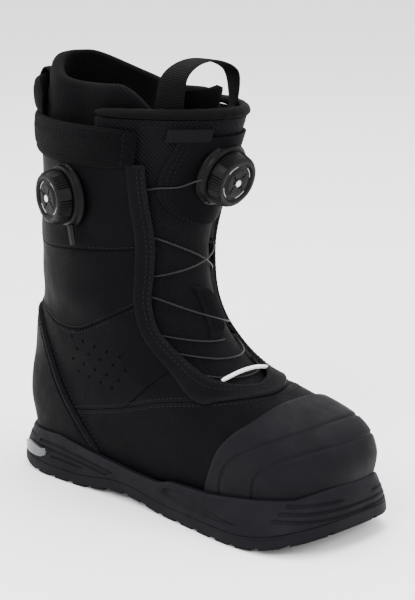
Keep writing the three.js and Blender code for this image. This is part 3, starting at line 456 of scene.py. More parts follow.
# ------------------------------------------------------------------ materials
class Finish:
    """Node material for one finish of the boot."""

    def __init__(self, name, color, roughness, **constants):
        self.material = bpy.data.materials.new(name)
        self.material.use_nodes = True
        self.nodes = self.material.node_tree.nodes
        self.links = self.material.node_tree.links
        self.shader = self.nodes["Principled BSDF"]
        self.shader.inputs["Base Color"].default_value = (*color, 1)
        self.shader.inputs["Roughness"].default_value = roughness
        for socket, value in constants.items():
            self.shader.inputs[socket.replace("_", " ")].default_value = value
        self.color = color
        self.height = None
        self.place = None
        self.flat = None

    def node(self, kind, **inputs):
        made = self.nodes.new(kind)
        for key, value in inputs.items():
            socket = made.inputs[key.replace("_", " ")]
            if hasattr(value, "is_output"):
                self.links.new(value, socket)
            else:
                socket.default_value = value
        return made

    def where(self):
        if self.place is None:
            self.place = self.nodes.new("ShaderNodeTexCoord").outputs["Object"]
        return self.place

    def cloth(self):
        if self.flat is None:
            made = self.nodes.new("ShaderNodeUVMap")
            made.uv_map = "cloth"
            split = self.node("ShaderNodeSeparateXYZ", Vector=made.outputs["UV"])
            self.flat = (split.outputs["X"], split.outputs["Y"])
        return self.flat

    def math(self, operation, a, b=0.0, c=0.0):
        made = self.nodes.new("ShaderNodeMath")
        made.operation = operation
        for socket, value in zip(made.inputs, (a, b, c)):
            if hasattr(value, "is_output"):
                self.links.new(value, socket)
            else:
                socket.default_value = value
        return made.outputs[0]

    def noise(self, scale, detail=3.0, roughness=0.55):
        return self.node("ShaderNodeTexNoise", Vector=self.where(), Scale=scale, Detail=detail,
                         Roughness=roughness).outputs[0]

    def cells(self, scale, feature="F1"):
        made = self.node("ShaderNodeTexVoronoi", Vector=self.where(), Scale=scale)
        made.feature = feature
        return made.outputs["Distance"]

    def span(self, value, low, high, to_low, to_high):
        made = self.node("ShaderNodeMapRange", Value=value, From_Min=low, From_Max=high, To_Min=to_low,
                         To_Max=to_high)
        return made.outputs["Result"]

    def wave(self, amount, frequency):
        return self.math("SINE", self.math("MULTIPLY", amount, frequency))

    def edge(self):
        made = self.nodes.new("ShaderNodeAttribute")
        made.attribute_name = "edge"
        return made.outputs["Fac"]

    def tint(self, factor, other):
        """Base colour shifted towards another colour by a pattern."""
        made = self.nodes.new("ShaderNodeMix")
        made.data_type = "RGBA"
        socket = self.shader.inputs["Base Color"]
        if socket.is_linked:
            self.links.new(socket.links[0].from_socket, made.inputs[6])
        else:
            made.inputs[6].default_value = (*self.color, 1)
        made.inputs[7].default_value = (*other, 1)
        self.links.new(factor, made.inputs[0])
        self.links.new(made.outputs[2], socket)
        return self

    def sheen_of(self, roughness):
        self.links.new(roughness, self.shader.inputs["Roughness"])
        return self

    def relief(self, value, depth, distance=0.001):
        bump = self.node("ShaderNodeBump", Strength=depth, Distance=distance, Height=value)
        if self.height is not None:
            self.links.new(self.height, bump.inputs["Normal"])
        self.height = bump.outputs["Normal"]
        self.links.new(self.height, self.shader.inputs["Normal"])
        return self


def shade(color, factor):
    return tuple(c * factor for c in color)


def leather(name, color, roughness=0.5, grain=950.0, depth=0.5):
    """Coated synthetic leather: fine pebble, slow colour drift and lighter rubbed edges."""
    f = Finish(name, color, roughness, Specular_IOR_Level=0.015)
    slow, fine = f.noise(28.0), f.noise(420.0, 4.0)
    f.tint(f.span(slow, 0.35, 0.7, 0.0, 0.55), shade(color, 1.45))
    f.tint(f.span(fine, 0.55, 0.75, 0.0, 0.35), shade(color, 0.6))
    f.tint(f.math("MULTIPLY", f.edge(), f.span(fine, 0.3, 0.6, 0.2, 0.75)), shade(color, 3.6))
    f.sheen_of(f.span(f.noise(60.0), 0.3, 0.7, roughness - 0.07, roughness + 0.08))
    f.relief(f.cells(grain, "SMOOTH_F1"), depth, 0.0005)
    f.relief(fine, 0.3, 0.0005)
    return f.material


def rubber(name, color, roughness=0.62):
    """Moulded rubber: satin skin with faint flow marks and dusty edges."""
    f = Finish(name, color, roughness, Specular_IOR_Level=0.05)
    f.tint(f.span(f.noise(35.0), 0.35, 0.7, 0.0, 0.5), shade(color, 1.5))
    f.tint(f.math("MULTIPLY", f.edge(), 0.55), shade(color, 2.6))
    f.sheen_of(f.span(f.noise(90.0), 0.3, 0.7, roughness - 0.08, roughness + 0.1))
    f.relief(f.noise(1400.0, 4.0), 0.2, 0.0002)
    f.relief(f.noise(150.0), 0.12, 0.0006)
    return f.material


def mesh_cloth(name, color, pitch=1.8, depth=0.8, roughness=0.85):
    """Open spacer mesh: staggered round holes between knitted ribs (cloth sizes in millimetres)."""
    f = Finish(name, color, roughness, Sheen_Weight=0.008, Sheen_Roughness=0.5, Specular_IOR_Level=0.03)
    x, y = f.cloth()
    k = 2 * math.pi / pitch
    weave = f.math("MULTIPLY", f.wave(x, k), f.wave(y, k * 0.8))
    fibre = f.noise(2600.0, 2.0)
    # Painted shade in the holes, where the relief is low, and a painted highlight on the ribs, where it is high.
    f.tint(f.span(weave, -0.1, 0.75, 0.0, 0.9), shade(color, 0.3))
    f.tint(f.span(weave, -0.25, -0.8, 0.0, 0.55), shade(color, 2.2))
    f.tint(f.span(f.noise(24.0), 0.4, 0.7, 0.0, 0.35), shade(color, 1.5))
    f.relief(f.math("MULTIPLY", weave, -1.0), depth, 0.0006)
    f.relief(fibre, 0.3, 0.0002)
    return f.material


def knit_cloth(name, color, pitch=1.5, depth=0.7):
    """Fine knit for the padded collar: rows of small loops with a soft nap."""
    f = Finish(name, color, 0.88, Sheen_Weight=0.01, Sheen_Roughness=0.45, Specular_IOR_Level=0.03)
    x, y = f.cloth()
    k = 2 * math.pi / pitch
    bent = f.math("ADD", y, f.math("MULTIPLY", f.math("ABSOLUTE", f.wave(x, k / 2)), pitch * 0.6))
    loops = f.math("MULTIPLY", f.wave(bent, k), f.math("ABSOLUTE", f.wave(x, k / 2)))
    # Painted shade in the low parts between the loops, where the relief is low.
    f.tint(f.span(loops, -0.6, 0.8, 0.7, 0.0), shade(color, 0.35))
    f.tint(f.span(f.noise(700.0), 0.5, 0.8, 0.0, 0.5), shade(color, 2.4))
    f.tint(f.span(f.noise(30.0), 0.4, 0.7, 0.0, 0.4), shade(color, 1.5))
    f.relief(loops, depth, 0.0005)
    f.relief(f.noise(2200.0, 2.0), 0.35, 0.0002)
    return f.material


def twill_cloth(name, color, pitch=2.4, depth=0.8):
    """Diagonal twill with raised cords and small cross threads."""
    f = Finish(name, color, 0.72, Sheen_Weight=0.008, Sheen_Roughness=0.4, Specular_IOR_Level=0.045)
    x, y = f.cloth()
    k = 2 * math.pi / pitch
    cord = f.wave(f.math("ADD", x, f.math("MULTIPLY", y, 0.8)), k)
    cross = f.wave(f.math("SUBTRACT", y, f.math("MULTIPLY", x, 0.25)), k * 2.3)
    body = f.math("ADD", cord, f.math("MULTIPLY", cross, 0.22))
    # Painted shade in the grooves between the cords, where the relief is low, and a painted highlight on the cord
    # tops.
    f.tint(f.span(body, -1.0, 0.4, 0.8, 0.0), shade(color, 0.3))
    f.tint(f.span(body, 0.5, 1.2, 0.0, 0.55), shade(color, 2.1))
    f.tint(f.span(f.noise(26.0), 0.4, 0.7, 0.0, 0.4), shade(color, 1.6))
    f.relief(body, depth, 0.0005)
    f.relief(f.noise(2400.0, 2.0), 0.3, 0.0002)
    return f.material


def webbing_cloth(name, color, pitch=1.7):
    """Woven webbing: close ribs across and a thread line along each edge."""
    f = Finish(name, color, 0.7, Sheen_Weight=0.008, Sheen_Roughness=0.4, Specular_IOR_Level=0.045)
    x, y = f.cloth()
    rib = f.wave(y, 2 * math.pi / pitch)
    thread = f.wave(x, 2 * math.pi / 1.1)
    body = f.math("ADD", rib, f.math("MULTIPLY", thread, 0.35))
    # Painted shade between the ribs, where the relief is low, and a painted highlight on the rib tops.
    f.tint(f.span(body, -1.2, 0.2, 0.85, 0.0), shade(color, 0.35))
    f.tint(f.span(body, 0.5, 1.3, 0.0, 0.5), shade(color, 2.0))
    f.relief(body, 0.8, 0.0005)
    f.relief(f.noise(2600.0, 2.0), 0.3, 0.0002)
    return f.material


def hard_plastic(name, color, roughness=0.4, **constants):
    """Injection moulded plastic: satin, slightly uneven gloss and fine scuffs."""
    f = Finish(name, color, roughness, **constants)
    f.tint(f.span(f.noise(60.0), 0.4, 0.7, 0.0, 0.35), shade(color, 1.4))
    f.sheen_of(f.span(f.noise(140.0), 0.3, 0.7, roughness - 0.06, roughness + 0.1))
    f.relief(f.noise(1800.0, 3.0), 0.12, 0.0002)
    scuffs = f.node("ShaderNodeTexNoise", Vector=f.where(), Scale=90.0, Detail=6.0, Distortion=2.5)
    f.relief(scuffs.outputs[0], 0.08, 0.0003)
    return f.material


def thread(name, color):
    """Bonded sewing thread."""
    f = Finish(name, color, 0.6, Specular_IOR_Level=0.07)
    f.tint(f.span(f.noise(900.0), 0.4, 0.7, 0.0, 0.6), shade(color, 0.5))
    f.relief(f.noise(3000.0, 2.0), 0.4, 0.0002)
    return f.material


def braided(name, color):
    """Coated steel lace: tight spiral strands."""
    f = Finish(name, color, 0.45, Specular_IOR_Level=0.25)
    x, y = f.cloth()
    strands = f.wave(f.math("ADD", x, y), 2 * math.pi / 1.0)
    # Painted shade in the grooves between the strands, where the relief is low.
    f.tint(f.span(strands, -1.0, 0.6, 0.7, 0.0), shade(color, 0.4))
    f.tint(f.span(f.noise(50.0), 0.4, 0.7, 0.0, 0.3), shade(color, 1.6))
    f.relief(strands, 0.7, 0.0002)
    return f.material


# ------------------------------------------------------------------ settings
def tone(name, description, default):
    return FloatVectorProperty(name=name, description=description, default=default, subtype="COLOR",
                               min=0, max=1, size=3)


def length(name, description, default):
    return FloatProperty(name=name, description=description, default=default * MM, min=0, unit="LENGTH")


class BootSizes(bpy.types.PropertyGroup):
    stitch: length("Stitch", "Length of one stitch", 2.5)
    stitch_gap: length("Stitch gap", "Gap between stitches", 1.2)
    thread: length("Thread", "Radius of the sewing thread", 0.42)
    collar_swell: length("Collar swell", "How far the padded collar stands out", 4.4)
    cord: length("Lace", "Radius of the coated steel lace", 0.62)
    seam: length("Seam depth", "Depth of the closed seams in the upper", 1.1)
    toe_groove: length("Toe groove", "Depth of the moulded grooves of the toe cap", 1.0)
    mesh_step: FloatProperty(name="Mesh step", description="Angle between skin columns", default=0.026,
                             min=0.01, subtype="ANGLE")
    knob_ribs: IntProperty(name="Knob ribs", description="Ribs in each group round a dial", default=6, min=3)


class BootColors(bpy.types.PropertyGroup):
    upper: tone("Upper", "Coated upper", (0.0022, 0.0022, 0.0026))
    overlay: tone("Overlay", "Eyestays and raised panels", (0.0028, 0.0028, 0.0034))
    rubber: tone("Rubber", "Moulded toe cap and sole", (0.0036, 0.0034, 0.0046))
    knit: tone("Knit", "Padded collar and flap", (0.0016, 0.0016, 0.0020))
    twill: tone("Twill", "Tongue cloth", (0.0024, 0.0024, 0.0031))
    liner: tone("Liner", "Liner mesh", (0.0015, 0.0015, 0.0019))
    webbing: tone("Webbing", "Pull loops", (0.0024, 0.0024, 0.0028))
    plastic: tone("Plastic", "Dials and guides", (0.0022, 0.0022, 0.0025))
    lace: tone("Lace", "Coated steel lace", (0.0062, 0.0064, 0.0072))
    bright: tone("Bright", "Heel window and toe sleeve", (0.62, 0.63, 0.65))
    floor: tone("Floor", "Studio floor", (0.97, 0.97, 0.97))


def sizes():
    return bpy.context.scene.boot_sizes


def colors():
    return bpy.context.scene.boot_colors


MADE = {}


def finish(kind):
    """Material for one finish, made once."""
    if kind not in MADE:
        c = colors()
        makers = {
            "upper": lambda: leather("coated_upper", tuple(c.upper), 0.5),
            "overlay": lambda: leather("overlay_coating", tuple(c.overlay), 0.46, 1100.0, 0.4),
            "eyestay": lambda: leather("eyestay_coating", shade(tuple(c.upper), 1.15), 0.48, 1000.0, 0.45),
            # Dark disc for each punched hole: painted shade standing in for the shaded inside of the hole.
            "hole": lambda: hard_plastic("punched_hole", (0.0012, 0.0012, 0.0013), 0.9,
                                         Specular_IOR_Level=0.015),
            "counter": lambda: leather("counter_coating", shade(tuple(c.overlay), 0.72), 0.52, 950.0, 0.45),
            "cap": lambda: rubber("toe_rubber", tuple(c.rubber), 0.55),
            "sole": lambda: rubber("sole_rubber", shade(tuple(c.rubber), 0.85), 0.66),
            "midsole": lambda: rubber("midsole_foam", shade(tuple(c.rubber), 1.05), 0.6),
            "knit": lambda: knit_cloth("collar_knit", tuple(c.knit)),
            "twill": lambda: twill_cloth("tongue_twill", tuple(c.twill)),
            "liner": lambda: mesh_cloth("liner_mesh", tuple(c.liner)),
            "binding": lambda: twill_cloth("edge_binding", shade(tuple(c.knit), 0.8), 1.1, 0.5),
            "webbing": lambda: webbing_cloth("loop_webbing", tuple(c.webbing)),
            "patch": lambda: leather("patch_leather", shade(tuple(c.upper), 0.95), 0.58, 1300.0, 0.4),
            "label": lambda: twill_cloth("woven_label", shade(tuple(c.overlay), 1.3), 0.9, 0.5),
            "plastic": lambda: hard_plastic("dial_plastic", tuple(c.plastic), 0.42, Specular_IOR_Level=0.06),
            "grip": lambda: hard_plastic("knob_grip", shade(tuple(c.plastic), 1.1), 0.46,
                                         Specular_IOR_Level=0.08),
            "mark": lambda: hard_plastic("moulded_mark", (0.3, 0.3, 0.31), 0.5),
            "guide": lambda: hard_plastic("guide_plastic", shade(tuple(c.plastic), 1.2), 0.45,
                                          Specular_IOR_Level=0.15),
            "lace": lambda: braided("steel_lace", tuple(c.lace)),
            "thread": lambda: thread("upper_thread", shade(tuple(c.upper), 2.6)),
            "dark_thread": lambda: thread("knit_thread", shade(tuple(c.knit), 3.0)),
            "window": lambda: hard_plastic("heel_window", shade(tuple(c.bright), 0.12), 0.24, Metallic=0.9),
            "bright": lambda: hard_plastic("toe_sleeve", tuple(c.bright), 0.35),
            "steel": lambda: hard_plastic("pin_steel", (0.55, 0.55, 0.56), 0.28, Metallic=1.0),
            "foam": lambda: leather("footbed_cloth", (0.006, 0.006, 0.0065), 0.8, 700.0, 0.5),
            "board": lambda: hard_plastic("lasting_fibre", (0.08, 0.075, 0.065), 0.8),
        }
        MADE[kind] = makers[kind]()
    return MADE[kind]


def paint_node(node, kind):
    """Gives a carried-over CAD node a new finish, and flat shading only at its real edges."""
    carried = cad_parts[node]
    carried.data.materials.clear()
    carried.data.materials.append(finish(kind))


def rounding(distance, radius):
    """Rise of a rolled edge: 0 at the edge, 1 from the radius inward."""
    return np.sqrt(np.clip(1 - (1 - np.clip(distance / radius, 0, 1)) ** 2, 0, 1))


def cloth_map(uv, across=58.0):
    """Cloth coordinates in millimetres for points of the skin."""
    height = skin_point(uv[:, 0], np.full(len(uv), math.pi / 2))[:, 2]
    slope = np.where(uv[:, 0] < 8, 1.25, 1.0)
    return np.stack([uv[:, 1] * across, height * slope], 1)


def thetas(start, end, step=None):
    step = step or sizes().mesh_step
    return np.linspace(start, end, max(3, int(round((end - start) / step)) + 1))


# ------------------------------------------------------------------ sole
SOLE_LENGTH, OUTSOLE, CAP_THICKNESS = 305.0, 8.0, 2.4


def sole_edge(theta, out=0.0):
    u = (1 - bend(np.cos(theta), 2 / 2.6)) / 2
    cap = bend(np.sin(theta), 2 / 2.6)
    half = breadth(u, 50, 45, 65) + out
    return (SOLE_LENGTH + 2 * out) * (u - 0.5) + 0.5, -cap * half + 7 * u ** 6


def tread(x):
    heel = -SOLE_LENGTH / 2
    rise = np.where(x < heel + 47, 7 * ((heel + 47 - x) / 47) ** 2, 0.0)
    arch = 5 * np.sin(math.pi * np.clip((x + 75) / 100, 0, 1)) ** 2
    toe = 14 * (np.clip(x - 92, 0, None) / (SOLE_LENGTH / 2 - 92)) ** 1.8
    return np.where(x < heel + 47, rise, np.where(x < 25, arch, toe))


def midsole_point(t, theta):
    """Outer face of the midsole for t 0..1, then the ledge and the inner face down to the cup."""
    x, y = sole_edge(theta, 0.2)
    low = np.stack([x, y, tread(x) + OUTSOLE - 6], -1)
    rim = skin(0.9, theta, 4.2)
    rim[..., 2] = np.interp(rim[..., 0], *zip(*SOLE_TOP))
    side = np.clip(t, 0, 1)[..., None]
    mix = side ** 2 * (1.4 - 0.4 * side)
    outer = np.concatenate([low[..., :2] + (rim[..., :2] - low[..., :2]) * mix,
                            low[..., 2:] + (rim[..., 2:] - low[..., 2:]) * side], -1)
    ledge = skin(0.9, theta, 0.5)
    ledge[..., 2] = rim[..., 2]
    k = np.clip((t - 1) / 0.12, 0, 1)[..., None]
    outer = outer + (ledge - outer) * np.where(t[..., None] > 1, k, 0)
    outer[..., 2] -= np.clip((t - 1.12) / 0.1, 0, 1) * 6
    return outer


def midsole_normal(t, theta):
    """Outward direction of the side wall, held level near the top ledge."""
    flat = np.clip(t, 0.02, 0.96)
    rise = midsole_point(flat + 0.02, theta) - midsole_point(flat - 0.02, theta)
    run = midsole_point(flat, theta + 0.02) - midsole_point(flat, theta - 0.02)
    return unit(np.cross(run, rise))


SCOOP = spline([(20, 21.5), (34, 24), (56, 20.5), (82, 16.5), (100, 15.5), (84, 13.2), (58, 13.2), (34, 14.5),
                (20, 17.5)], 90, closed=True)


def inside_loop(loop, q):
    closed = np.vstack([loop, loop[:1]])
    winding = np.zeros(len(q), bool)
    for a, b in zip(closed[:-1], closed[1:]):
        crosses = (a[1] > q[:, 1]) != (b[1] > q[:, 1])
        at = a[0] + (q[:, 1] - a[1]) / np.where(abs(b[1] - a[1]) < 1e-9, 1e-9, b[1] - a[1]) * (b[0] - a[0])
        winding ^= crosses & (q[:, 0] < at)
    distance = np.abs(beside(closed, q))
    return np.where(winding, distance, -distance)


SOLE_GROOVES = [
    ([(-118, 24.0), (-96, 25.0), (-70, 23.5), (-46, 20.5), (-34, 18.8)], 0.9),
    ([(-120, 19.6), (-96, 20.4), (-70, 19.3), (-50, 17.2), (-40, 16.2)], 0.9),
    ([(-100, 15.8), (-84, 15.8), (-66, 15.2)], 0.8),
    ([(-146, 25.5), (-136, 25.8), (-124, 26.0)], 1.2),
    ([(126, 31.5), (136, 33.0), (150, 35.0)], 0.85),
    ([(124, 27.0), (136, 28.2), (152, 30.0)], 0.85),
    ([(122, 22.6), (136, 23.6), (154, 25.2)], 0.85),
]


def groove_field(line, half):
    """Distance inside a groove of a given half width with round ends."""
    curve = np.asarray(spline(line, 8 * len(line)))
    return lambda q: half - np.abs(beside(curve, q))


def midsole_piece():
    """Cup of foam round the foot, with its side scoop and grooves."""
    rows = np.concatenate([np.linspace(0, 0.94, 34), [0.965, 0.985, 1.0, 1.03, 1.09, 1.12, 1.22]])
    patch = Patch(rows, thetas(0, 2 * math.pi, 0.024))

    def plane(uv):
        return midsole_point(uv[:, 0], uv[:, 1])[:, [0, 2]]

    def scoop(uv):
        return inside_loop(SCOOP, plane(uv))

    grooves = [groove_field(*g) for g in SOLE_GROOVES]

    def near_groove(uv):
        return np.maximum.reduce([g(plane(uv)) for g in grooves])

    def welt(uv):
        return plane(uv)[:, 1] - (tread(plane(uv)[:, 0]) + OUTSOLE + 1.2)

    patch.rings(scoop, (0.0, 1.2)).rings(near_groove, (-0.5, 0.0, 0.5)).rings(welt, (-0.6, 0.0, 0.6))
    uv = patch.uv
    on_wall = uv[:, 0] <= 1.0
    sunk = 1.6 * smooth(0.0, 1.6, scoop(uv)) + 1.15 * smooth(-0.45, 0.45, near_groove(uv))
    sunk += 0.7 * (1 - smooth(0, 0.7, np.abs(welt(uv))))
    bulge = 0.5 * rounding(np.clip(1 - uv[:, 0], 0, 1) * 26, 2.2) * on_wall
    points = midsole_point(uv[:, 0], uv[:, 1])
    points += midsole_normal(uv[:, 0], uv[:, 1]) * (bulge - sunk * on_wall)[:, None]
    top = np.abs(uv[:, 0] - 1.0) * 30
    edge = np.exp(-top / 1.2) * 0.8
    return new_piece("midsole_wall", points, patch.faces, finish("midsole"),
                     ("midsole",), edge=edge)


LUG_PITCH, LUG_GAP, LUG_DEPTH = 19.5, 6.2, 5.0


def tread_gaps(q):
    """Distance inside the gaps between the tread lugs, for plan points."""
    off_centre = np.abs(q[:, 1] - 3)
    slanted = q[:, 0] + 0.14 * off_centre + 142
    cross = LUG_GAP / 2 - np.abs((slanted % LUG_PITCH) - LUG_PITCH / 2)
    cross = np.where((slanted < LUG_PITCH * 0.7) | (slanted > LUG_PITCH * 14.6), -3.0, cross)
    middle = np.where((q[:, 0] > -62) & (q[:, 0] < 6), off_centre - 30, off_centre - 9)
    lengthwise = 2.0 - np.abs(off_centre - 22)
    return np.maximum(np.minimum(cross, middle), lengthwise * 0.9)


def outsole_piece():
    """Rubber tread: blocks with open gaps that scallop its edge, under a flat web."""
    angle = np.linspace(0, 2 * math.pi, 240, endpoint=False)
    outline = np.stack(sole_edge(angle), 1)
    patch = Patch(np.arange(-153.5, 155, 2.6), np.arange(-67, 73, 2.6))
    edge = lambda q: inside_loop(outline, q)
    patch.cut(edge, 0.0, drop=True).rings(edge, (0.8,)).rings(tread_gaps, (-0.4, 0.4))
    q = patch.uv
    ground = tread(q[:, 0])
    inset = np.maximum(edge(q), 0)
    gap = LUG_DEPTH * smooth(-0.4, 0.4, tread_gaps(q))
    low = np.column_stack([q, ground + gap + 0.5 * (1 - rounding(inset, 0.8))])
    high = np.column_stack([q, ground + OUTSOLE])
    points, faces = thicken(patch.faces, high, low)
    wear = np.concatenate([0 * inset, np.exp(-np.abs(tread_gaps(q)) / 0.5) * 0.5])
    return new_piece("tread_blocks", points, faces, finish("sole"), ("outsole",), edge=wear,
                     sharp=30)


# ------------------------------------------------------------------ upper
SHELL = 3.0
GAP = 0.35
PERFORATIONS = [(-78 + 12.5 * i + 6 * (j % 2), 113 - 8.5 * j - 1.6 * i) for j in range(4) for i in range(5)][:19]


def upper_panel(name, node, field, patch, seams, kind="upper", thickness=SHELL, out=0.0, extra=None,
                radius=1.3, drop=None):
    """Panel of the upper: cut to its outline, rolled down at its edges, with a closed back."""
    patch.cut(field, 0.0, drop=True).rings(field, (0.35, 0.9, 1.6))
    for seam, width in seams:
        patch.rings(seam, (-width, 0.0, width))
    uv = patch.uv
    distance = np.maximum(field(uv), 0)
    lift = np.full(len(uv), float(out))
    lift += -(drop if drop is not None else sizes().seam / MM) * (1 - rounding(distance, radius))
    for seam, width in seams:
        lift -= 0.75 * (1 - smooth(0, width, np.abs(seam(uv))))
    if extra:
        lift += extra(uv)
    top = skin(uv[:, 0], uv[:, 1], lift)
    bottom = skin(uv[:, 0], uv[:, 1], np.minimum(out - thickness, lift - 0.2))
    points, faces = thicken(patch.faces, top, bottom)
    edge = np.exp(-distance / 0.9)
    return new_piece(name, points, faces, finish(kind), (node,), edge=np.concatenate([edge, edge]),
                     cloth=np.tile(cloth_map(uv), (2, 1)))


def perforation_piece(side, name):
    """Punched holes in the quarter: small dished discs set into the coating."""
    x, z = np.array(PERFORATIONS).T
    v, theta = locate(x, z, side)
    angle = np.linspace(0, 2 * math.pi, 14, endpoint=False)
    parts = []
    for level, turn in zip(v, theta):
        centre, normal = skin(level, turn, 0.0), skin_normal(level, turn)
        lift = float(wrinkles(np.array([[level, turn]]))[0])
        first = unit(np.cross(normal, [0.0, 0.0, 1.0]))
        second = np.cross(normal, first)
        ring = np.cos(angle)[:, None] * first + np.sin(angle)[:, None] * second
        profile = ((1.25, -0.5), (1.2, 0.1), (0.85, 0.12), (0.5, 0.0))
        rows = [centre + ring * r + normal * (lift + h) for r, h in profile]
        faces = grid_faces(4, 14, closed_columns=True) + [tuple(range(42, 56)), tuple(range(14))[::-1]]
        parts.append((np.vstack(rows), faces))
    points, faces = join_meshes(parts)
    outward(new_piece(f"punched_holes_{name}", points, faces, finish("hole")))


vamp_above = side_field(VAMP_SEAM)
counter_inside = side_field(COUNTER_EDGE)
cap_inside = side_field(TOE_CAP_EDGE, -1.0)
SHAFT_SEAM = side_field([(-230, 184), (-135, 182), (-103, 179), (-60, 182), (-30, 184), (-12, 186), (30, 189)])
ANKLE_SEAM = side_field([(-170, 131), (-128, 126), (-113, 124), (-95, 119), (-69, 120), (-45, 130), (-18, 144),
                         (6, 158)])
INSTEP_SEAM = side_field([(-21, 71), (-6, 84), (8, 97), (24, 112)])


def wrinkles(uv):
    """Slow flex waves of the coated upper round the ankle."""
    p = skin_point(uv[:, 0], uv[:, 1])
    bend_zone = np.exp(-((p[:, 2] - 150) / 45) ** 2)
    rising = 0.55 * np.sin(p[:, 2] * 0.16 + p[:, 0] * 0.035)
    return bend_zone * (rising + 0.3 * np.sin(p[:, 0] * 0.09 - p[:, 2] * 0.07))


# Distances from the throat: outer edge of the band, edge of the shell under it, and where the
# stitches of the seams beyond it start.
BAND_WIDTH, SHELL_EDGE = 11.6, 7.5
STITCH_START = BAND_WIDTH + 0.8


def build_upper():
    """Lower panel and the two shaft quarters, each with its punched holes."""
    rim = height_field(250.0)
    vamp = Patch(np.arange(0.2, 5.6, 0.13), thetas(0, 2 * math.pi))
    below_seam = both(lambda uv: -vamp_above(uv), lambda uv: throat_field(uv) - SHELL_EDGE)
    upper_panel("vamp_panel", "vamp", below_seam, vamp, [], extra=lambda uv: 0.6 * wrinkles(uv))
    for side, name in ((-1, "outer"), (1, "inner")):
        span = (0.0, math.pi) if side < 0 else (math.pi, 2 * math.pi)
        quarter = Patch(np.append(np.arange(1.0, 9.9, 0.13), 9.9), thetas(*span))
        field = both(vamp_above, lambda uv: throat_field(uv) - SHELL_EDGE, rim)
        upper_panel(f"quarter_{name}_panel", f"quarter_{name}", field, quarter,
                    [(SHAFT_SEAM, 0.8), (ANKLE_SEAM, 0.8), (INSTEP_SEAM, 0.8)],
                    extra=wrinkles)
        perforation_piece(side, name)


TOE_GROOVES = [
    [(70, -20), (70, 28), (73, 42), (80, 54), (92, 63), (108, 71), (127, 79), (140, 90)],
    [(97, -20), (97, 34), (100, 46), (108, 55), (120, 62), (136, 68), (160, 76)],
]


def build_overlays():
    """Toe cap with its moulded grooves, and the heel counter."""
    above_sole = side_field([(x, z - 2.0) for x, z in SOLE_TOP])
    cap = Patch(np.arange(0.25, 5.2, 0.11), thetas(1.75, 2 * math.pi - 1.75, 0.022))
    lines = [side_field(g) for g in TOE_GROOVES]

    def cap_field(uv):
        return both(cap_inside, above_sole)(uv)

    def dents(uv):
        depth = sizes().toe_groove / MM
        lows = sum(depth * (1 - smooth(0.2, 1.5, np.abs(line(uv)))) for line in lines)
        return -lows

    for line in lines:
        cap.rings(line, (-1.5, -0.6, 0.6, 1.5))
    upper_panel("toe_cap_moulding", "toe_cap", cap_field, cap, [], "cap", CAP_THICKNESS,
                GAP + CAP_THICKNESS, dents, 2.0, CAP_THICKNESS - 0.1)
    back = Patch(np.arange(0.25, 7.2, 0.12), thetas(-1.45, 1.45, 0.024))
    ridge = lambda uv: counter_inside(uv) - 5.0
    upper_panel("heel_counter_panel", "heel_counter", both(counter_inside, above_sole), back, [(ridge, 1.1)],
                "counter", CAP_THICKNESS, GAP + CAP_THICKNESS, None, 1.6, CAP_THICKNESS - 0.1)


def build_eyestays():
    """Raised bands round the throat that the lace guides are set into."""
    rim = height_field(248.6)
    for side, name in ((-1, "outer"), (1, "inner")):
        span = (0.9, math.pi) if side < 0 else (math.pi, 2 * math.pi - 0.9)
        band = Patch(np.append(np.arange(2.4, 9.86, 0.1), 9.86), thetas(*span, 0.02))
        field = both(lambda uv: BAND_WIDTH - throat_field(uv), lambda uv: throat_field(uv) - 0.1, rim)
        upper_panel(f"eyestay_{name}_band", f"eyestay_{name}", field, band, [], "eyestay", 1.9,
                    GAP + 2.1, None, 1.2, 1.8)


# ------------------------------------------------------------------ collar, tongue and liner
def pad_ring(points_at, rows, around, bulge):
    """Closed padded band: rows along it, a rounded section across it (t across, w through)."""
    angle = np.linspace(0, 2 * math.pi, around, endpoint=False)
    t = 0.5 - 0.5 * bend(np.cos(angle), 0.75)
    w = bend(np.sin(angle), 0.8)
    parts = [points_at(s, t, w * bulge(s, t)) for s in rows]
    n = len(rows)
    faces = grid_faces(n, around, closed_columns=True)
    faces += [tuple(range(around))[::-1], tuple(range((n - 1) * around, n * around))]
    return np.vstack(parts), faces, np.tile(t, n), np.tile(w, n)


COLLAR_LOW, COLLAR_HIGH = 247.5, 274.0


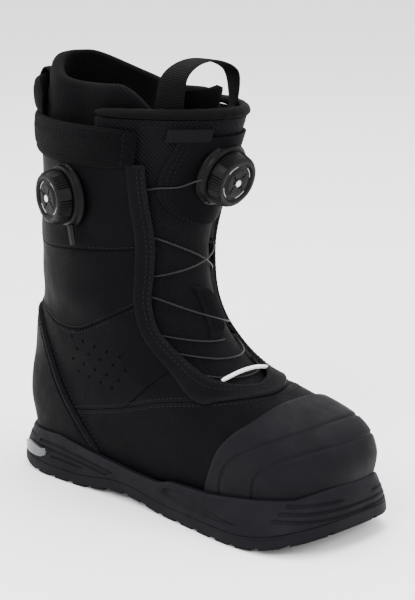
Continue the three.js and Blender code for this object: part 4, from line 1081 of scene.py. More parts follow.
def collar_piece(side, name):
    """Padded knit collar on one side of the shaft."""
    low, high = level_for(COLLAR_LOW) - 0.08, level_for(COLLAR_HIGH)
    end = float(locate(-1.0, COLLAR_HIGH - 8, side)[1])
    start = 0.006 if side < 0 else 2 * math.pi - 0.006
    swell = sizes().collar_swell / MM

    def place(s, t, w):
        front = 1 - 0.16 * s ** 22
        v = low + (high - low) * (0.5 + (t - 0.5) * front * (1 - 0.1 * s ** 10))
        theta = start + (end - start) * s
        ends = math.sqrt(max(0.06, 1 - abs(2 * s - 1) ** 26))
        lines = 0.75 * np.exp(-((t - 0.80) / 0.035) ** 2) + 0.6 * np.exp(-((t - 0.22) / 0.035) ** 2)
        lines += 0.5 * math.exp(-((s - 0.955) / 0.012) ** 2)
        pucker = 0.16 * np.sin(s * 260.0) * np.exp(-((t - 0.80) / 0.12) ** 2)
        depth = np.where(w > 0, swell, 2.6) * w * ends
        depth = np.where(w > 0, depth - (lines + pucker) * np.minimum(1, w * 2), depth)
        depth = depth + 0.45 * math.sin(s * 7.0) * np.maximum(w, 0)
        return skin(v, np.full(len(t), theta), depth + 0.3)

    rows = np.linspace(0, 1, 150)
    points, faces, t, w = pad_ring(place, rows, 34, lambda s, t: 1.0)
    run = np.repeat(np.linspace(0, 175, len(rows)), 34)
    cloth = np.stack([run, t * 22], 1)
    piece = new_piece(f"collar_{name}_pad", points, faces, finish("knit"), (f"collar_{name}",),
                      edge=np.zeros(len(points)), cloth=cloth, sharp=60)
    outward(piece)
    lines = []
    for share in (0.80, 0.22):
        s = np.linspace(0.01, 0.95, 160)
        v = low + (high - low) * share
        theta = start + (end - start) * s
        out = swell * bend(np.sqrt(np.maximum(0, 1 - (2 * share - 1) ** 2)), 0.8) - 0.35 + 0.45 * np.sin(s * 7.0)
        lines.append((skin(np.full(160, v), theta, out), skin_normal(np.full(160, v), theta)))
    t = np.linspace(0.16, 0.86, 40)
    theta = np.full(40, start + (end - start) * 0.955)
    out = swell * bend(np.sqrt(np.maximum(0, 1 - (2 * t - 1) ** 2)), 0.8) - 0.1
    lines.append((skin(low + (high - low) * t, theta, out), skin_normal(low + (high - low) * t, theta)))
    points, faces = stitch_mesh(lines, 2.2, 1.3, 0.34)
    new_piece(f"collar_{name}_stitching", points, faces, finish("dark_thread"))


def achilles_piece():
    """Padded flap behind the ankle, above the collar."""
    low, high = level_for(273.5) + 0.03, level_for(297)

    def place(s, t, w):
        drop = 1 - 0.55 * (2 * s - 1) ** 4
        v = low + (high - low) * t * drop
        ends = math.sqrt(max(0.05, 1 - abs(2 * s - 1) ** 10))
        rib = 0.45 * np.exp(-((t - 0.82) / 0.05) ** 2)
        depth = np.where(w > 0, 3.9, 2.6) * w * ends - rib * np.maximum(w, 0)
        p = skin(v, np.full(len(t), 0.98 * (2 * s - 1)), depth - 0.2)
        p[:, 2] += 7 * t * drop
        return p

    rows = np.linspace(0, 1, 90)
    points, faces, t, w = pad_ring(place, rows, 30, lambda s, t: 1.0)
    cloth = np.stack([np.repeat(np.linspace(-50, 50, 90), 30), t * 30], 1)
    piece = new_piece("achilles_pad", points, faces, finish("knit"), ("achilles_flap",),
                      edge=np.zeros(len(points)), cloth=cloth, sharp=60)
    outward(piece)


def tongue_reach(v):
    return 0.62 + 0.85 * np.clip((v - 4.3) / 2.6, 0, 1)


TONGUE_THICKNESS = 5.0
TONGUE_OUT = -SHELL - GAP - 0.14
TONGUE_TOP = 279.0


def tongue_piece():
    """Padded tongue, folded at the ankle, with a sewn channel down each side."""
    top = level_for(TONGUE_TOP)
    rows, columns = 96, 90
    t = np.linspace(0, 1, rows)[:, None]
    s = np.linspace(0, 1, columns)[None, :]
    v = 4.3 + (top - 4.3) * t + 0 * s
    theta = math.pi + tongue_reach(v) * (2 * s - 1)
    p = skin_point(v, theta)
    quilt = 0.35 * np.sin(v * 2.6) * np.cos((theta - math.pi) * 1.5)
    off_channel = np.abs(theta - math.pi) - 0.62 - 0.05 * np.sin(v)
    channel = 0.9 * np.exp(-(off_channel / 0.035) ** 2)
    fold = 0.7 * np.exp(-((p[..., 2] - 158) / 4.0) ** 2) + 0.6 * np.exp(-((p[..., 2] - 184) / 5.0) ** 2)
    lip = 1.6 * (1 - rounding(least(s * 60, (1 - s) * 60, t * 120), 2.2))
    front = TONGUE_OUT + quilt * 0.5 - 0.3 - (channel * 0.6 + fold * 0.5) - lip
    outer = skin(v, theta, front)
    inner = skin(v, theta, np.full_like(v, TONGUE_OUT - TONGUE_THICKNESS + 0.3))
    points, faces = thicken(grid_faces(rows, columns), outer.reshape(-1, 3), inner.reshape(-1, 3))
    cloth = np.tile(np.stack([(theta - math.pi) * 58, p[..., 2]], -1).reshape(-1, 2), (2, 1))
    piece = new_piece("tongue_cloth", points, faces, finish("twill"), ("tongue",),
                      edge=np.zeros(len(points)), cloth=cloth, sharp=50)


def binding_piece():
    """Rolled padded edge along the top of the tongue, with its row of stitches."""
    base = level_for(TONGUE_TOP) + 0.102
    centre = TONGUE_OUT - TONGUE_THICKNESS / 2
    n, m = 120, 18
    angle = np.linspace(0, 2 * math.pi, m, endpoint=False)
    rings = []
    for i in range(n):
        k = 2 * i / (n - 1) - 1
        theta = math.pi + float(tongue_reach(base)) * k
        pinch = math.sqrt(max(0.1, 1 - abs(k) ** 14)) * (1 + 0.035 * math.sin(i * 0.9))
        p = skin(np.full(m, base), np.full(m, theta), centre + 3.7 * pinch * np.cos(angle))
        p[:, 2] += 3.4 * pinch * np.sin(angle)
        rings.append(p)
    faces = grid_faces(n, m, closed_columns=True) + [tuple(range(m))[::-1], tuple(range((n - 1) * m, n * m))]
    run = np.repeat(np.linspace(0, 160, n), m)
    cloth = np.stack([run, np.tile(angle * 3.5, n)], 1)
    piece = new_piece("tongue_rolled_edge", np.vstack(rings), faces, finish("binding"),
                      ("tongue_binding",), edge=np.zeros(n * m), cloth=cloth, sharp=70)
    outward(piece)
    theta = math.pi + float(tongue_reach(base)) * np.linspace(-0.93, 0.93, 140)
    v = np.full(140, level_for(TONGUE_TOP - 5.0))
    points, faces = stitch_mesh([(skin(v, theta, TONGUE_OUT - 0.25), skin_normal(v, theta))], 2.4, 1.3, 0.34)
    new_piece("tongue_edge_stitching", points, faces, finish("dark_thread"))


def patch_point(s, t, lift):
    low, high, bow = level_for(203), level_for(268), 0.42
    swing = math.pi / 2 * np.minimum(1, t / bow)
    rise = np.where(t < bow, bow * (1 - np.cos(swing)), t)
    spread = 0.82 * np.maximum(0.02, np.sin(swing)) * (1 - 0.14 * smooth(0.55, 1.0, t))
    return skin(low + (high - low) * rise, math.pi + spread * (2 * s - 1), -SHELL + lift)


def tongue_patch_piece():
    """Leather patch under the tongue dial, with a rolled edge and two rows of stitches."""
    t = np.concatenate([[0, 0.012, 0.03], np.linspace(0.06, 0.97, 40), [0.985, 1.0]])[:, None]
    s = np.concatenate([[0, 0.012, 0.03], np.linspace(0.06, 0.94, 44), [0.97, 0.988, 1.0]])[None, :]
    t, s = t + 0 * s, s + 0 * t
    inset = least(s * 90, (1 - s) * 90, t * 66, (1 - t) * 66 + 6)
    lift = 0.5 + 1.3 * rounding(inset, 1.8) + 0.12 * np.sin(s * 9) * np.sin(t * 7)
    lift -= 0.4 * np.exp(-((inset - 4.0) / 0.6) ** 2)
    shape = t.shape
    top = patch_point(s.ravel(), t.ravel(), lift.ravel())
    bottom = patch_point(s.ravel(), t.ravel(), np.full(s.size, 0.35))
    points, faces = thicken(grid_faces(*shape), top, bottom)
    edge = np.exp(-inset.ravel() / 0.9)
    piece = new_piece("dial_patch", points, faces, finish("patch"),
                      ("tongue_patch",), edge=np.concatenate([edge, edge]),
                      cloth=np.tile(np.stack([s.ravel() * 90, t.ravel() * 66], 1), (2, 1)))
    lines = []
    for inset in (0.05, 0.085):
        k = np.linspace(0.05, 0.99, 100)
        s0 = np.full(100, inset)
        bottom_arc = np.linspace(inset, 1 - inset, 60)
        path_s = np.concatenate([s0[::-1], bottom_arc, 1 - s0])
        path_t = np.concatenate([k[::-1], np.full(60, 0.05), k])
        middle = patch_point(path_s, path_t, np.full(len(path_s), 1.62))
        lines.append((middle, unit(patch_point(path_s, path_t, np.full(len(path_s), 2.6)) - middle)))
    points, faces = stitch_mesh(lines, 2.2, 1.2, 0.32)
    new_piece("dial_patch_stitching", points, faces, finish("thread"))
    return piece


def label_piece():
    """Plain woven tab with folded ends near the top of the tongue."""
    low, high = level_for(264.6), level_for(273.6)
    t = np.linspace(0, 1, 12)[:, None]
    s = np.linspace(0, 1, 40)[None, :]
    inset = least(s * 26, (1 - s) * 26, t * 8.4, (1 - t) * 8.4)
    lift = 1.85 + 0.7 * rounding(inset, 0.8)
    v, theta = low + (high - low) * t + 0 * s, math.pi - 0.82 + 0.46 * s + 0 * t
    top = skin(v, theta, -SHELL + lift).reshape(-1, 3)
    bottom = skin(v, theta, np.full(v.shape, -SHELL - 0.2)).reshape(-1, 3)
    points, faces = thicken(grid_faces(12, 40), top, bottom)
    cloth = np.tile(np.stack([(s * 26 + 0 * t).ravel(), (t * 8.4 + 0 * s).ravel()], 1), (2, 1))
    new_piece("woven_tab", points, faces, finish("label"), ("tongue_label",),
              edge=np.tile(np.exp(-inset.ravel() / 0.6), 2), cloth=cloth)


def strap_mesh(line, across, width, thickness, steps=8):
    """Flat webbing along a line: ribs across it and slightly raised woven edges."""
    along = unit(np.gradient(line, axis=0))
    side = unit(across - along * np.sum(across * along, 1)[:, None])
    face = np.cross(along, side)
    s = np.linspace(-1, 1, steps + 1)
    run = np.concatenate([[0], np.cumsum(np.linalg.norm(np.diff(line, axis=0), axis=1))])
    rib = 0.11 * np.cos(run * 2 * math.pi / 1.7)
    rim = np.where(np.abs(s) > 0.85, 0.16, 0.0)
    half = width / 2 * np.sign(s) * np.abs(s) ** 0.9
    front = thickness / 2 * np.sqrt(np.clip(1 - np.abs(s) ** 9, 0.12, 1))
    rows = []
    for i, (p, a, n) in enumerate(zip(line, side, face)):
        top = p + half[:, None] * a + (front + rib[i] + rim)[:, None] * n
        under = p + half[::-1][:, None] * a - (front + rib[i] + rim)[::-1][:, None] * n
        rows.append(np.vstack([top, under]))
    m = 2 * (steps + 1)
    faces = grid_faces(len(line), m, closed_columns=True)
    faces += [tuple(range(m))[::-1], tuple(range((len(line) - 1) * m, len(line) * m))]
    cloth = np.stack([np.tile(np.concatenate([half, half[::-1]]), len(line)), np.repeat(run, m)], 1)
    return np.vstack(rows), faces, cloth


def tongue_loop_piece():
    """Webbing pull loop on top of the tongue."""
    foot = level_for(TONGUE_TOP - 9)
    out = TONGUE_OUT + 0.14 - TONGUE_THICKNESS - 3.2
    outer, inner = skin(foot, math.pi - 0.86, out), skin(foot, math.pi + 0.86, out)
    top = (outer + inner) / 2 + np.array([3, 0, 45.0])

    def lift(p, dz, dx, mix=0.0):
        q = p + np.array([dx, 0, dz])
        return q + (top - q) * mix

    line = spline([outer, lift(outer, 16, 4), lift(outer, 35, 6, 0.16), top, lift(inner, 35, 6, 0.16),
                   lift(inner, 16, 4), inner], 300)
    angle = math.pi / 4 * (1 - 2 * np.linspace(0, 1, 300))
    across = np.stack([np.cos(angle), np.sin(angle), 0 * angle], 1)
    points, faces, cloth = strap_mesh(line, across, 20.0, 1.5)
    piece = new_piece("tongue_pull_loop", points, faces, finish("webbing"), ("tongue_loop",),
                      edge=np.zeros(len(points)), cloth=cloth, sharp=60)
    outward(piece)


def heel_loop_piece():
    """Webbing pull loop at the back of the shaft."""
    z0 = 263.0
    back = skin(level_for(z0), 0.0001, 5.2)
    route = [(0, 0), (-0.6, 14), (-1.4, 30), (1.6, 36), (4.2, 38.4), (8.6, 37.2), (11.6, 32)]
    line = spline([(back[0] + dx, 0.0, z0 + dz) for dx, dz in route], 170)
    across = np.tile([0.0, 1.0, 0.0], (len(line), 1))
    points, faces, cloth = strap_mesh(line, across, 20.0, 1.5)
    piece = new_piece("heel_pull_loop", points, faces, finish("webbing"), ("heel_loop",),
                      edge=np.zeros(len(points)), cloth=cloth, sharp=60)
    outward(piece)
    corners = [(-8, 2), (8, 2), (8, 12), (-8, 12), (-8, 2)]
    square, _ = resample([(back[0] - 1.05, y, z0 + z) for y, z in corners], 1.0)
    points, faces = stitch_mesh([(square, np.tile([-1.0, 0, 0], (len(square), 1)))], 2.0, 1.0, 0.3)
    new_piece("heel_loop_stitching", points, faces, finish("thread"))


def liner_out(v, theta):
    from_back = np.abs(math.pi - np.abs(theta - math.pi))
    front = smooth(1.05, 1.5, from_back)
    return -(3.9 + front * smooth(3.3, 4.1, v) * (7 + 3.4 * smooth(9.2, 10.1, v)))


def liner_rim(theta):
    from_back = np.abs(math.pi - np.abs(theta - math.pi))
    side = np.where(theta < math.pi, 298.0, 289.0)
    slope = 313 + (side - 313) * smooth(0.35, 1.5, from_back)
    return slope + (274 - slope) * smooth(1.75, 2.3, from_back)


def liner_wall(theta, z, extra):
    """Liner surface at a height: extra is the depth into the padding."""
    level = np.interp(np.minimum(z, 290), *LEVEL_TABLE)
    p = skin(level, theta, liner_out(level, theta) - extra)
    over = np.maximum(0, z - 290)
    p[..., 2] = np.where(z > 290, p[..., 2] + over, p[..., 2])
    p[..., 0] += 0.28 * np.maximum(0, z - 262) * np.cos(theta / 2) ** 4
    return p


LEVEL_TABLE = (np.linspace(150, 290, 60), np.array([level_for(z) for z in np.linspace(150, 290, 60)]))
LINER_THICKNESS = 9.0
HEIGHTS = np.linspace(100, 290, 80)
LEVELS = np.array([float(locate(30, z, -1)[0]) for z in HEIGHTS])


def liner_piece():
    """Padded inner boot above the ankle: mesh outside, rolled bound rim, smooth lining inside."""
    columns = 190
    theta = np.linspace(0, 2 * math.pi, columns, endpoint=False)
    rim = liner_rim(theta)
    rows = []
    heights = []
    for k in np.linspace(0, 1, 34):
        z = 165 + (rim - 2.2 - 165) * k
        bead = 0.9 * smooth(0.90, 0.925, k) * (1 - smooth(0.985, 1.0, k) * 0.6)
        groove = 0.8 * math.exp(-((k - 0.905) / 0.01) ** 2)
        ribs = 0.35 * math.sin(k * 60) * (1 - smooth(0.84, 0.9, k))
        rows.append(liner_wall(theta, z, -(float(bead) * 0.5 + ribs * 0.3) + groove))
        heights.append(z)
    for a in np.linspace(0.12, math.pi - 0.12, 9):
        z = rim - 2.2 + 3.4 * math.sin(a)
        rows.append(liner_wall(theta, z, LINER_THICKNESS * (0.5 - 0.5 * math.cos(a))))
        heights.append(z)
    for k in np.linspace(1, 0, 30):
        z = 120 + (rim - 2.2 - 120) * k if k < 1 else rim - 2.2
        sewn = 0.8 * math.exp(-((k - 0.86) / 0.014) ** 2)
        if np.min(z) < 150:
            z = np.maximum(z, 150)
        rows.append(liner_wall(theta, z, LINER_THICKNESS + sewn * 0.5))
        heights.append(z)
    n = len(rows)
    faces = grid_faces(n, columns, closed_columns=True)
    faces += [tuple(range(columns))[::-1]]
    cloth = np.stack([np.tile(theta * 52, n), np.concatenate(heights)], 1)
    piece = new_piece("liner_cuff", np.vstack(rows), faces, finish("liner"), ("liner_boot",),
                      edge=np.zeros(n * columns), cloth=cloth, sharp=60)
    return piece


def liner_tongue_piece():
    """Padded tongue of the liner."""
    rows, columns = 60, 50
    t = np.linspace(0, 1, rows)[:, None]
    s = np.linspace(0, 1, columns)[None, :]
    v = 6.3 + (TOP - 6.3) * np.minimum(1, t / 0.93) + 0 * s
    inset = least(s * 84, (1 - s) * 84, (1 - t) * 150)
    roll = rounding(inset, 3.0)
    groove = 0.6 * np.exp(-((inset - 6.0) / 0.8) ** 2)

    def face(extra, depth):
        base = skin(v, math.pi + 0.8 * (2 * s - 1) + 0 * v, liner_out(v, np.full(v.shape, math.pi)) - 10.05)
        base[..., 2] += 3 * np.maximum(0, t - 0.93) / 0.07 + 0 * s
        base[..., 0] -= extra + depth
        return base.reshape(-1, 3)

    middle = 3.0
    front = face(0, middle * (1 - roll) + groove + 0.12 * np.sin(v * 9))
    back = face(6.0, -middle * (1 - roll))
    points, faces = thicken(grid_faces(rows, columns), front, back)
    cloth = np.tile(np.stack([(s * 84 + 0 * t).ravel(), (t * 150 + 0 * s).ravel()], 1), (2, 1))
    piece = new_piece("liner_tongue_pad", points, faces, finish("liner"), ("liner_tongue",),
                      edge=np.zeros(len(points)), cloth=cloth, sharp=60)


# ------------------------------------------------------------------ cables and dials
RUN_OUT = -1.75
SLEEVE_LIFT, SLEEVE_CLIMB = 1.2, 0.62


def edge_point(port, side, inward, out):
    v, theta = locate(port[0], port[1], side)
    base = skin(v, theta, out)
    ahead = unit(skin(v, theta + 0.02 * (1 if side < 0 else -1), out) - base)
    return base + ahead * inward


def across_tongue(a, b, out, count, climb=0.0):
    (va, ta), (vb, tb) = locate(*a[0], a[1]), locate(*b[0], b[1])
    t = (np.arange(count) + 1) / (count + 1)
    v = va + (vb - va) * t + climb * np.sin(math.pi * t)
    return list(skin(v, ta + (tb - ta) * t, out))


def outer_port(i):
    return OUTER_PORTS[i], -1


def inner_port(i):
    return INNER_PORTS[i], 1


def turn_round(path, a, b):
    """Route of the lace round one guide, from port a to port b."""
    path += [edge_point(*a, 0.5, RUN_OUT), edge_point(*a, -3, RUN_OUT)]
    for t in (0.14, 0.86):
        between = [p + (q - p) * t for p, q in zip(a[0], b[0])]
        path.append(edge_point(between, a[1], -4, RUN_OUT))
    path += [edge_point(*b, -3, RUN_OUT), edge_point(*b, 0.5, RUN_OUT)]


def dial_frame(which):
    if which == "tongue":
        v = locate(100, 240, -1)[0]
        tilt = math.radians(18)
        return skin(v, math.pi, -SHELL + 1.75), np.array([math.cos(tilt), 0, -math.sin(tilt)])
    v, theta = locate(-66, 221, -1)
    swing = math.radians(14)
    return skin(v, theta, GAP + 0.4), unit(np.array([-math.sin(swing), -math.cos(swing), -0.07]))


def upper_route():
    """Points of the upper lace, from the tongue dial across the throat and back to the dial."""
    spot, axis = dial_frame("tongue")

    def port(side):
        return spot + axis * 2.1 + np.array([0, side * 16.5, 0])

    def away(side):
        return spot + axis * 2.0 + np.array([-2.5, side * 24, -1])

    path = [port(-1), away(-1), skin(locate(20, 233, -1)[0], math.pi - 0.6, 0.0),
            skin(locate(20, 232, -1)[0], math.pi - 0.8, -0.1)]
    turn_round(path, outer_port(0), outer_port(1))
    path += across_tongue(outer_port(1), inner_port(2), RUN_OUT, 5)
    turn_round(path, inner_port(2), inner_port(3))
    path += across_tongue(inner_port(3), outer_port(3), RUN_OUT + 0.9, 5)
    turn_round(path, outer_port(3), outer_port(2))
    path += across_tongue(outer_port(2), inner_port(1), RUN_OUT + 1.75, 5)
    turn_round(path, inner_port(1), inner_port(0))
    path += [skin(locate(20, 232, 1)[0], math.pi + 0.8, -0.1), skin(locate(20, 233, 1)[0], math.pi + 0.6, 0.0)]
    return path + [away(1), port(1)]


def lower_route():
    """Points of the lower lace, from the middle of the tongue down to the toe sleeve."""
    path = across_tongue(outer_port(4), inner_port(3), RUN_OUT, 5)[2::-1]
    turn_round(path, outer_port(4), outer_port(5))
    path += across_tongue(outer_port(5), inner_port(4), RUN_OUT, 5)
    turn_round(path, inner_port(4), inner_port(5))
    path += across_tongue(inner_port(5), outer_port(6), RUN_OUT, 5)
    turn_round(path, outer_port(6), outer_port(7))
    path += across_tongue(outer_port(7), inner_port(6), SLEEVE_LIFT, 6, SLEEVE_CLIMB)
    last = INNER_PORTS[6]
    return path + [edge_point(last, 1, 0.5, RUN_OUT + 0.6), edge_point(last, 1, -3.6, RUN_OUT)]


def lace_piece(name, node, route):
    """Coated steel lace along a route."""
    line = spline(route, len(route) * 12)
    sides = 12
    points, faces = tube(line, sizes().cord / MM, sides)
    run = np.concatenate([[0], np.cumsum(np.linalg.norm(np.diff(line, axis=0), axis=1))])
    cloth = np.stack([np.tile(np.linspace(0, 4, sides), len(line)), np.repeat(run, sides)], 1)
    piece = new_piece(name, points, faces, finish("lace"), (node,), edge=np.zeros(len(points)),
                      cloth=cloth, sharp=60)
    return outward(piece)


def sleeve_piece():
    """Pale sleeve that carries the lace over the toe end of the tongue, with soft rounded ends."""
    route = across_tongue(outer_port(7), inner_port(6), SLEEVE_LIFT, 6, SLEEVE_CLIMB)
    line = spline(route, 70)
    k = np.linspace(0, 1, 70)
    ends = np.sqrt(np.clip(1 - np.abs(2 * k - 1) ** 30, 0.35, 1))
    points, faces = tube(line, 1.5 * ends * (1 + 0.02 * np.cos(k * 90)), 20)
    piece = new_piece("toe_sleeve", points, faces, finish("bright"), ("toe_cable_sleeve",),
                      edge=np.zeros(len(points)))
    outward(piece)


def half_moon_piece():
    """Padded D-shaped guide in the middle of the tongue, with a rolled rim and a row of stitches."""
    rows, columns = 30, 40
    t = np.linspace(0, 1, rows)[:, None]
    s = np.linspace(0, 1, columns)[None, :]
    arc = np.sqrt(np.clip(1 - np.abs(2 * t - 1) ** 2.0, 0.02, 1))
    start = math.pi - 0.30 + 0.16 * arc
    end = math.pi - 0.26 + 0.58 * arc
    theta = start + (end - start) * s
    height = 141 - 16 + 35 * t + 0 * s
    level = np.interp(height, HEIGHTS, LEVELS)
    across = (end - start) * 46
    tall = 35 * np.maximum(arc, 0.3)
    inset = least(s * across, (1 - s) * across, t * tall, (1 - t) * tall)
    lift = 0.35 + 2.2 * rounding(inset, 2.2) - 0.45 * np.exp(-((inset - 3.4) / 0.6) ** 2)
    top = skin(level, theta, -SHELL - 0.2 + lift).reshape(-1, 3)
    bottom = skin(level, theta, np.full(theta.shape, -SHELL - 0.25)).reshape(-1, 3)
    points, faces = thicken(grid_faces(rows, columns), top, bottom)
    edge = np.tile(np.exp(-inset.ravel() / 0.9), 2)
    new_piece("half_moon_guide", points, faces, finish("patch"), ("tongue_half_moon",), edge=edge)


def lathe(profile, segments=96, rim=None):
    """Turned form about Z from (radius, height) pairs; rim changes radii by angle."""
    angle = np.linspace(0, 2 * math.pi, segments, endpoint=False)
    rows = []
    for k, (r, z) in enumerate(profile):
        radius = np.full(segments, r) + (rim(angle, k) if rim else 0)
        rows.append(np.stack([radius * np.cos(angle), radius * np.sin(angle), np.full(segments, z)], 1))
    n = len(profile)
    faces = grid_faces(n, segments, closed_columns=True)
    return np.vstack(rows), faces


def seat(points, which):
    """Puts a form turned about Z onto a dial."""
    spot, axis = dial_frame(which)
    turn = np.array(Vector((0, 0, 1)).rotation_difference(Vector(axis)).to_matrix())
    return points @ turn.T + spot


def dial_base_piece(which):
    """Fixed housing of a dial, with its flange against the boot."""
    profile = [(3.3, 1.5), (13.3, 1.5), (13.4, 7.0), (13.9, 7.3), (15.2, 7.2), (15.6, 6.7), (16.0, 4.4), (16.6, 4.1),
               (19.6, 4.0), (20.5, 3.8), (21.1, 3.2), (21.5, 2.4), (21.7, 0.8), (22.4, 0.0), (23.4, -0.6),
               (23.6, -1.4), (23.2, -2.4), (3.3, -2.4)]

    def rim(angle, k):
        return 0.35 * np.cos(24 * angle) if k == 13 else 0

    points, faces = lathe(profile, 120, rim)
    faces += [tuple((len(profile) - 1) * 120 + np.arange(120)), tuple(np.arange(120)[::-1])]
    piece = new_piece(f"{which}_dial_housing", seat(points, which), faces, finish("plastic"),
                      (f"{which}_dial_base",), edge=np.zeros(len(points)), sharp=35)
    outward(piece)


def dial_knob_piece(which):
    """Tapered grip: groups of fine ribs between smooth finger lobes, a dished face and a raised ring."""
    rows = [(6.4, 9.6), (15.8, 9.4), (17.2, 8.2), (17.4, 4.9), (18.6, 4.7), (19.3, 5.2), (19.5, 6.4), (19.2, 9.0),
            (18.7, 12.0), (18.2, 13.6), (17.6, 14.5), (16.6, 15.1), (15.2, 15.25), (14.2, 15.0), (13.6, 14.2),
            (13.2, 13.7), (12.2, 13.6), (11.4, 14.0), (10.6, 14.25), (8.8, 14.35), (6.4, 14.2)]
    groups = 6

    def rim(angle, k):
        if not 4 <= k <= 11:
            return 0
        turn = (angle * groups / (2 * math.pi)) % 1.0
        ribs = sizes().knob_ribs
        inside = (turn > 0.2) & (turn < 0.8)
        tooth = 0.55 * np.cos((turn - 0.2) / 0.6 * ribs * 2 * math.pi)
        lobe = 0.35 - 0.9 * np.abs(((turn + 0.5) % 1.0) - 0.5) * 2
        fade = 1.0 if 5 <= k <= 9 else 0.5
        return fade * np.where(inside, tooth - 0.25, lobe * 0.5)

    segments = 360
    points, faces = lathe(rows, segments, rim)
    n = len(rows)
    loop = [((n - 1) * segments + j, (n - 1) * segments + (j + 1) % segments, (j + 1) % segments, j)
            for j in range(segments)]
    piece = new_piece(f"{which}_dial_grip_ring", seat(points, which), faces + loop, finish("grip"),
                      (f"{which}_dial_knob",), body=f"{which}_dial_grip", edge=np.zeros(len(points)), sharp=38)
    outward(piece)


def dial_face_piece(which):
    """Face disc with four short slots and a plain raised boss."""
    rings = [(0.01, 15.1), (1.4, 15.1), (1.9, 14.9), (2.2, 14.5), (3.2, 14.35), (5.0, 14.5), (7.6, 14.75), (9.4, 14.7),
             (10.2, 14.4), (10.5, 13.9), (10.5, 13.0), (5.8, 13.0), (5.8, 12.1), (0.01, 12.1)]
    points, faces = lathe(rings, 144)
    radius = np.hypot(points[:, 0], points[:, 1])
    angle = np.degrees(np.arctan2(points[:, 1], points[:, 0])) % 90
    slot_depth = 0.9 * smooth(3.4, 4.2, radius) * (1 - smooth(8.6, 9.2, radius))
    across = radius * np.sin(np.radians(np.abs(angle - 45)))
    top = points[:, 2] > 13.8
    points[:, 2] -= top * slot_depth * (1 - smooth(0.5, 1.0, across))
    piece = new_piece(f"{which}_dial_face_disc", seat(points, which), faces, finish("plastic"),
                      (f"{which}_dial_face",), body=f"{which}_dial_grip", edge=np.zeros(len(points)), sharp=38)
    outward(piece)
    parts = []
    for k in range(4):
        arc = np.radians(np.linspace(90 * k + 12, 90 * k + 52, 16))
        line = np.stack([12.3 * np.cos(arc), 12.3 * np.sin(arc), np.full(16, 13.75)], 1)
        parts.append(tube(line, 0.28, 6))
    marks, mark_faces = join_meshes(parts)
    new_piece(f"{which}_dial_marks", seat(marks, which), mark_faces, finish("mark"),
              body=f"{which}_dial_grip", edge=np.zeros(len(marks)))


# ------------------------------------------------------------------ seam stitching
def build_stitching():
    """Rows of thread beside the seams of the upper."""
    levels, columns = np.arange(0.3, 9.9, 0.14), thetas(0, 2 * math.pi, 0.035)
    gap = sizes().stitch_gap / MM
    size, radius = sizes().stitch / MM, sizes().thread / MM
    above_sole = side_field(SOLE_TOP)
    groups = {
        "eyestay": [(throat_field, 2.0, GAP + 2.0), (throat_field, 4.8, GAP + 2.0)],
        "vamp": [(vamp_above, 2.6, 0.0), (vamp_above, -2.6, 0.0)],
        "shaft": [(SHAFT_SEAM, 2.2, 0.0), (ANKLE_SEAM, 2.2, 0.0), (ANKLE_SEAM, -2.2, 0.0)],
        "counter": [(counter_inside, 2.4, GAP + CAP_THICKNESS - 0.05), (counter_inside, -2.4, 0.0)],
    }
    top = height_field(248.5)
    hidden = {
        "eyestay": lambda uv: top(uv) > 0,
        "vamp": lambda uv: (throat_field(uv) > STITCH_START) & (cap_inside(uv) < -1) & (counter_inside(uv) < -1),
        "shaft": lambda uv: (throat_field(uv) > STITCH_START) & (vamp_above(uv) > 2) & (counter_inside(uv) < -1),
        "counter": lambda uv: (above_sole(uv) > 2.5) & (cap_inside(uv) < -1),
    }
    for name, rows in groups.items():
        lines = []
        for field, level, out in rows:
            lines += seam_lines(field, level, levels, columns, out, hidden[name])
        points, faces = stitch_mesh(lines, size, gap, radius)
        new_piece(f"{name}_stitching", points, faces, finish("thread"))


# ------------------------------------------------------------------ stage
def build_stage():
    """Pale floor, soft lights and the camera."""
    scene = bpy.context.scene
    floor = Finish("studio_floor", tuple(colors().floor), 0.7)
    floor.tint(floor.span(floor.noise(6.0), 0.3, 0.7, 0.0, 0.5), shade(tuple(colors().floor), 0.985))
    mesh = bpy.data.meshes.new("floor")
    n = 24
    span = np.linspace(-6, 6, n)
    points = [(x, y, 0.0) for x in span for y in span]
    mesh.from_pydata(points, [], grid_faces(n, n))
    mesh.materials.append(floor.material)
    ground = bpy.data.objects.new("floor", mesh)
    scene.collection.objects.link(ground)
    world = bpy.data.worlds.new("studio")
    world.use_nodes = True
    world.node_tree.nodes["Background"].inputs["Color"].default_value = (1, 1, 1, 1)
    world.node_tree.nodes["Background"].inputs["Strength"].default_value = 2.0
    scene.world = world
    centre = Vector((0.0, 0.006, 0.15))
    lights = [("key", (0.4, -1.7, 1.6), 44, 0.9), ("rim", (-1.8, -0.5, 1.3), 14, 0.7),
              ("front", (1.8, 0.5, 1.2), 26, 0.8), ("top", (0.0, 0.2, 2.4), 70, 1.8)]
    for name, place, power, size in lights:
        data = bpy.data.lights.new(name, "AREA")
        data.energy, data.size, data.shape = power, size, "SQUARE"
        lamp = bpy.data.objects.new(name, data)
        lamp.location = place
        lamp.rotation_euler = (centre - Vector(place)).to_track_quat("-Z", "Y").to_euler()
        scene.collection.objects.link(lamp)
    azimuth, elevation = math.radians(44), math.radians(13.5)
    target = Vector((0.00044, 0.00572, 0.150))
    back = Vector((math.sin(azimuth) * math.cos(elevation), -math.cos(azimuth) * math.cos(elevation),
                   math.sin(elevation)))
    data = bpy.data.cameras.new("camera")
    data.lens, data.sensor_width = 109.6, 36
    data.shift_x, data.shift_y = 0.0317, -0.0092
    camera = bpy.data.objects.new("camera", data)
    camera.location = target + back * 1.3
    camera.rotation_euler = (-back).to_track_quat("-Z", "Y").to_euler()
    scene.collection.objects.link(camera)
    scene.camera = camera


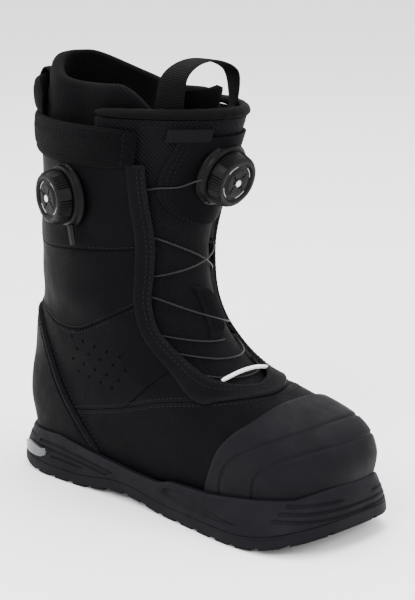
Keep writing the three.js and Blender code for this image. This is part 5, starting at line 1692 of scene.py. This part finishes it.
def build_inner_parts():
    """Finishes for the parts of the frame whose own shapes are kept."""
    kinds = {"heel_window_outer": "window", "heel_window_inner": "window",
             "lasting_board": "board", "footbed": "foam", "side_dial_outlet": "guide",
             }
    for n in range(1, 5):
        kinds[f"guide_outer_{n}"] = "guide"
        kinds[f"guide_inner_{n}"] = "guide"
    for which in ("tongue", "side"):
        kinds[f"{which}_dial_spool"] = "plastic"
        kinds[f"{which}_dial_carrier"] = "plastic"
        kinds[f"{which}_dial_pin"] = "steel"
    for node, kind in kinds.items():
        paint_node(node, kind)


# ------------------------------------------------------------------ operators
def operator(name, label, doc, work):
    """Operator class that runs one group of building steps."""

    def execute(self, context):
        for step in work:
            step()
        return {"FINISHED"}

    return type(f"BOOT_OT_{name}", (bpy.types.Operator,), {
        "bl_idname": f"boot.{name}", "bl_label": label, "__doc__": doc, "execute": execute})


OPERATORS = [
    operator("stage", "Stage", "Lay the floor, lights and camera", [build_stage]),
    operator("sole", "Sole", "Build the midsole wall and the tread", [midsole_piece, outsole_piece]),
    operator("upper", "Upper", "Build the coated vamp and quarters", [build_upper]),
    operator("overlays", "Overlays", "Build the toe cap and heel counter", [build_overlays]),
    operator("eyestays", "Eyestays", "Build the bands round the throat", [build_eyestays]),
    operator("collar", "Collar", "Build the padded collar and ankle flap",
             [lambda: collar_piece(-1, "outer"), lambda: collar_piece(1, "inner"), achilles_piece]),
    operator("tongue", "Tongue", "Build the tongue, its rolled edge, patch and tab",
             [tongue_piece, binding_piece, tongue_patch_piece, label_piece]),
    operator("loops", "Pull loops", "Build the two webbing pull loops", [tongue_loop_piece, heel_loop_piece]),
    operator("liner", "Liner", "Build the inner boot and its tongue", [liner_piece, liner_tongue_piece]),
    operator("laces", "Laces", "Run the steel laces and the toe sleeve",
             [lambda: lace_piece("upper_lace", "upper_cable", upper_route()),
              lambda: lace_piece("lower_lace", "lower_cable", lower_route()), sleeve_piece, half_moon_piece]),
    operator("dials", "Dials", "Build the two lacing dials",
             [lambda: [make(which) for which in ("tongue", "side")
                       for make in (dial_base_piece, dial_knob_piece, dial_face_piece)]]),
    operator("stitching", "Stitching", "Sew the seams of the upper", [build_stitching]),
    operator("inner_parts", "Kept parts", "Finish the parts whose own shapes are kept", [build_inner_parts]),
]


class BOOT_PT_panel(bpy.types.Panel):
    """Sizes, colours and building steps of the boot."""
    bl_label = "Snowboard boot"
    bl_idname = "BOOT_PT_panel"
    bl_space_type = "VIEW_3D"
    bl_region_type = "UI"
    bl_category = "Boot"

    def draw(self, context):
        layout = self.layout
        for group in (context.scene.boot_sizes, context.scene.boot_colors):
            box = layout.box()
            for key in group.__annotations__:
                box.prop(group, key)
        for made in OPERATORS:
            layout.operator(made.bl_idname)


CLASSES = [BootSizes, BootColors, BOOT_PT_panel, *OPERATORS]


def register():
    for each in CLASSES:
        bpy.utils.register_class(each)
    bpy.types.Scene.boot_sizes = PointerProperty(type=BootSizes)
    bpy.types.Scene.boot_colors = PointerProperty(type=BootColors)


def unregister():
    del bpy.types.Scene.boot_colors
    del bpy.types.Scene.boot_sizes
    for each in reversed(CLASSES):
        bpy.utils.unregister_class(each)


def main():
    register()
    for made in OPERATORS:
        group, name = made.bl_idname.split(".")
        getattr(getattr(bpy.ops, group), name)()


if __name__ == "__main__":
    main()
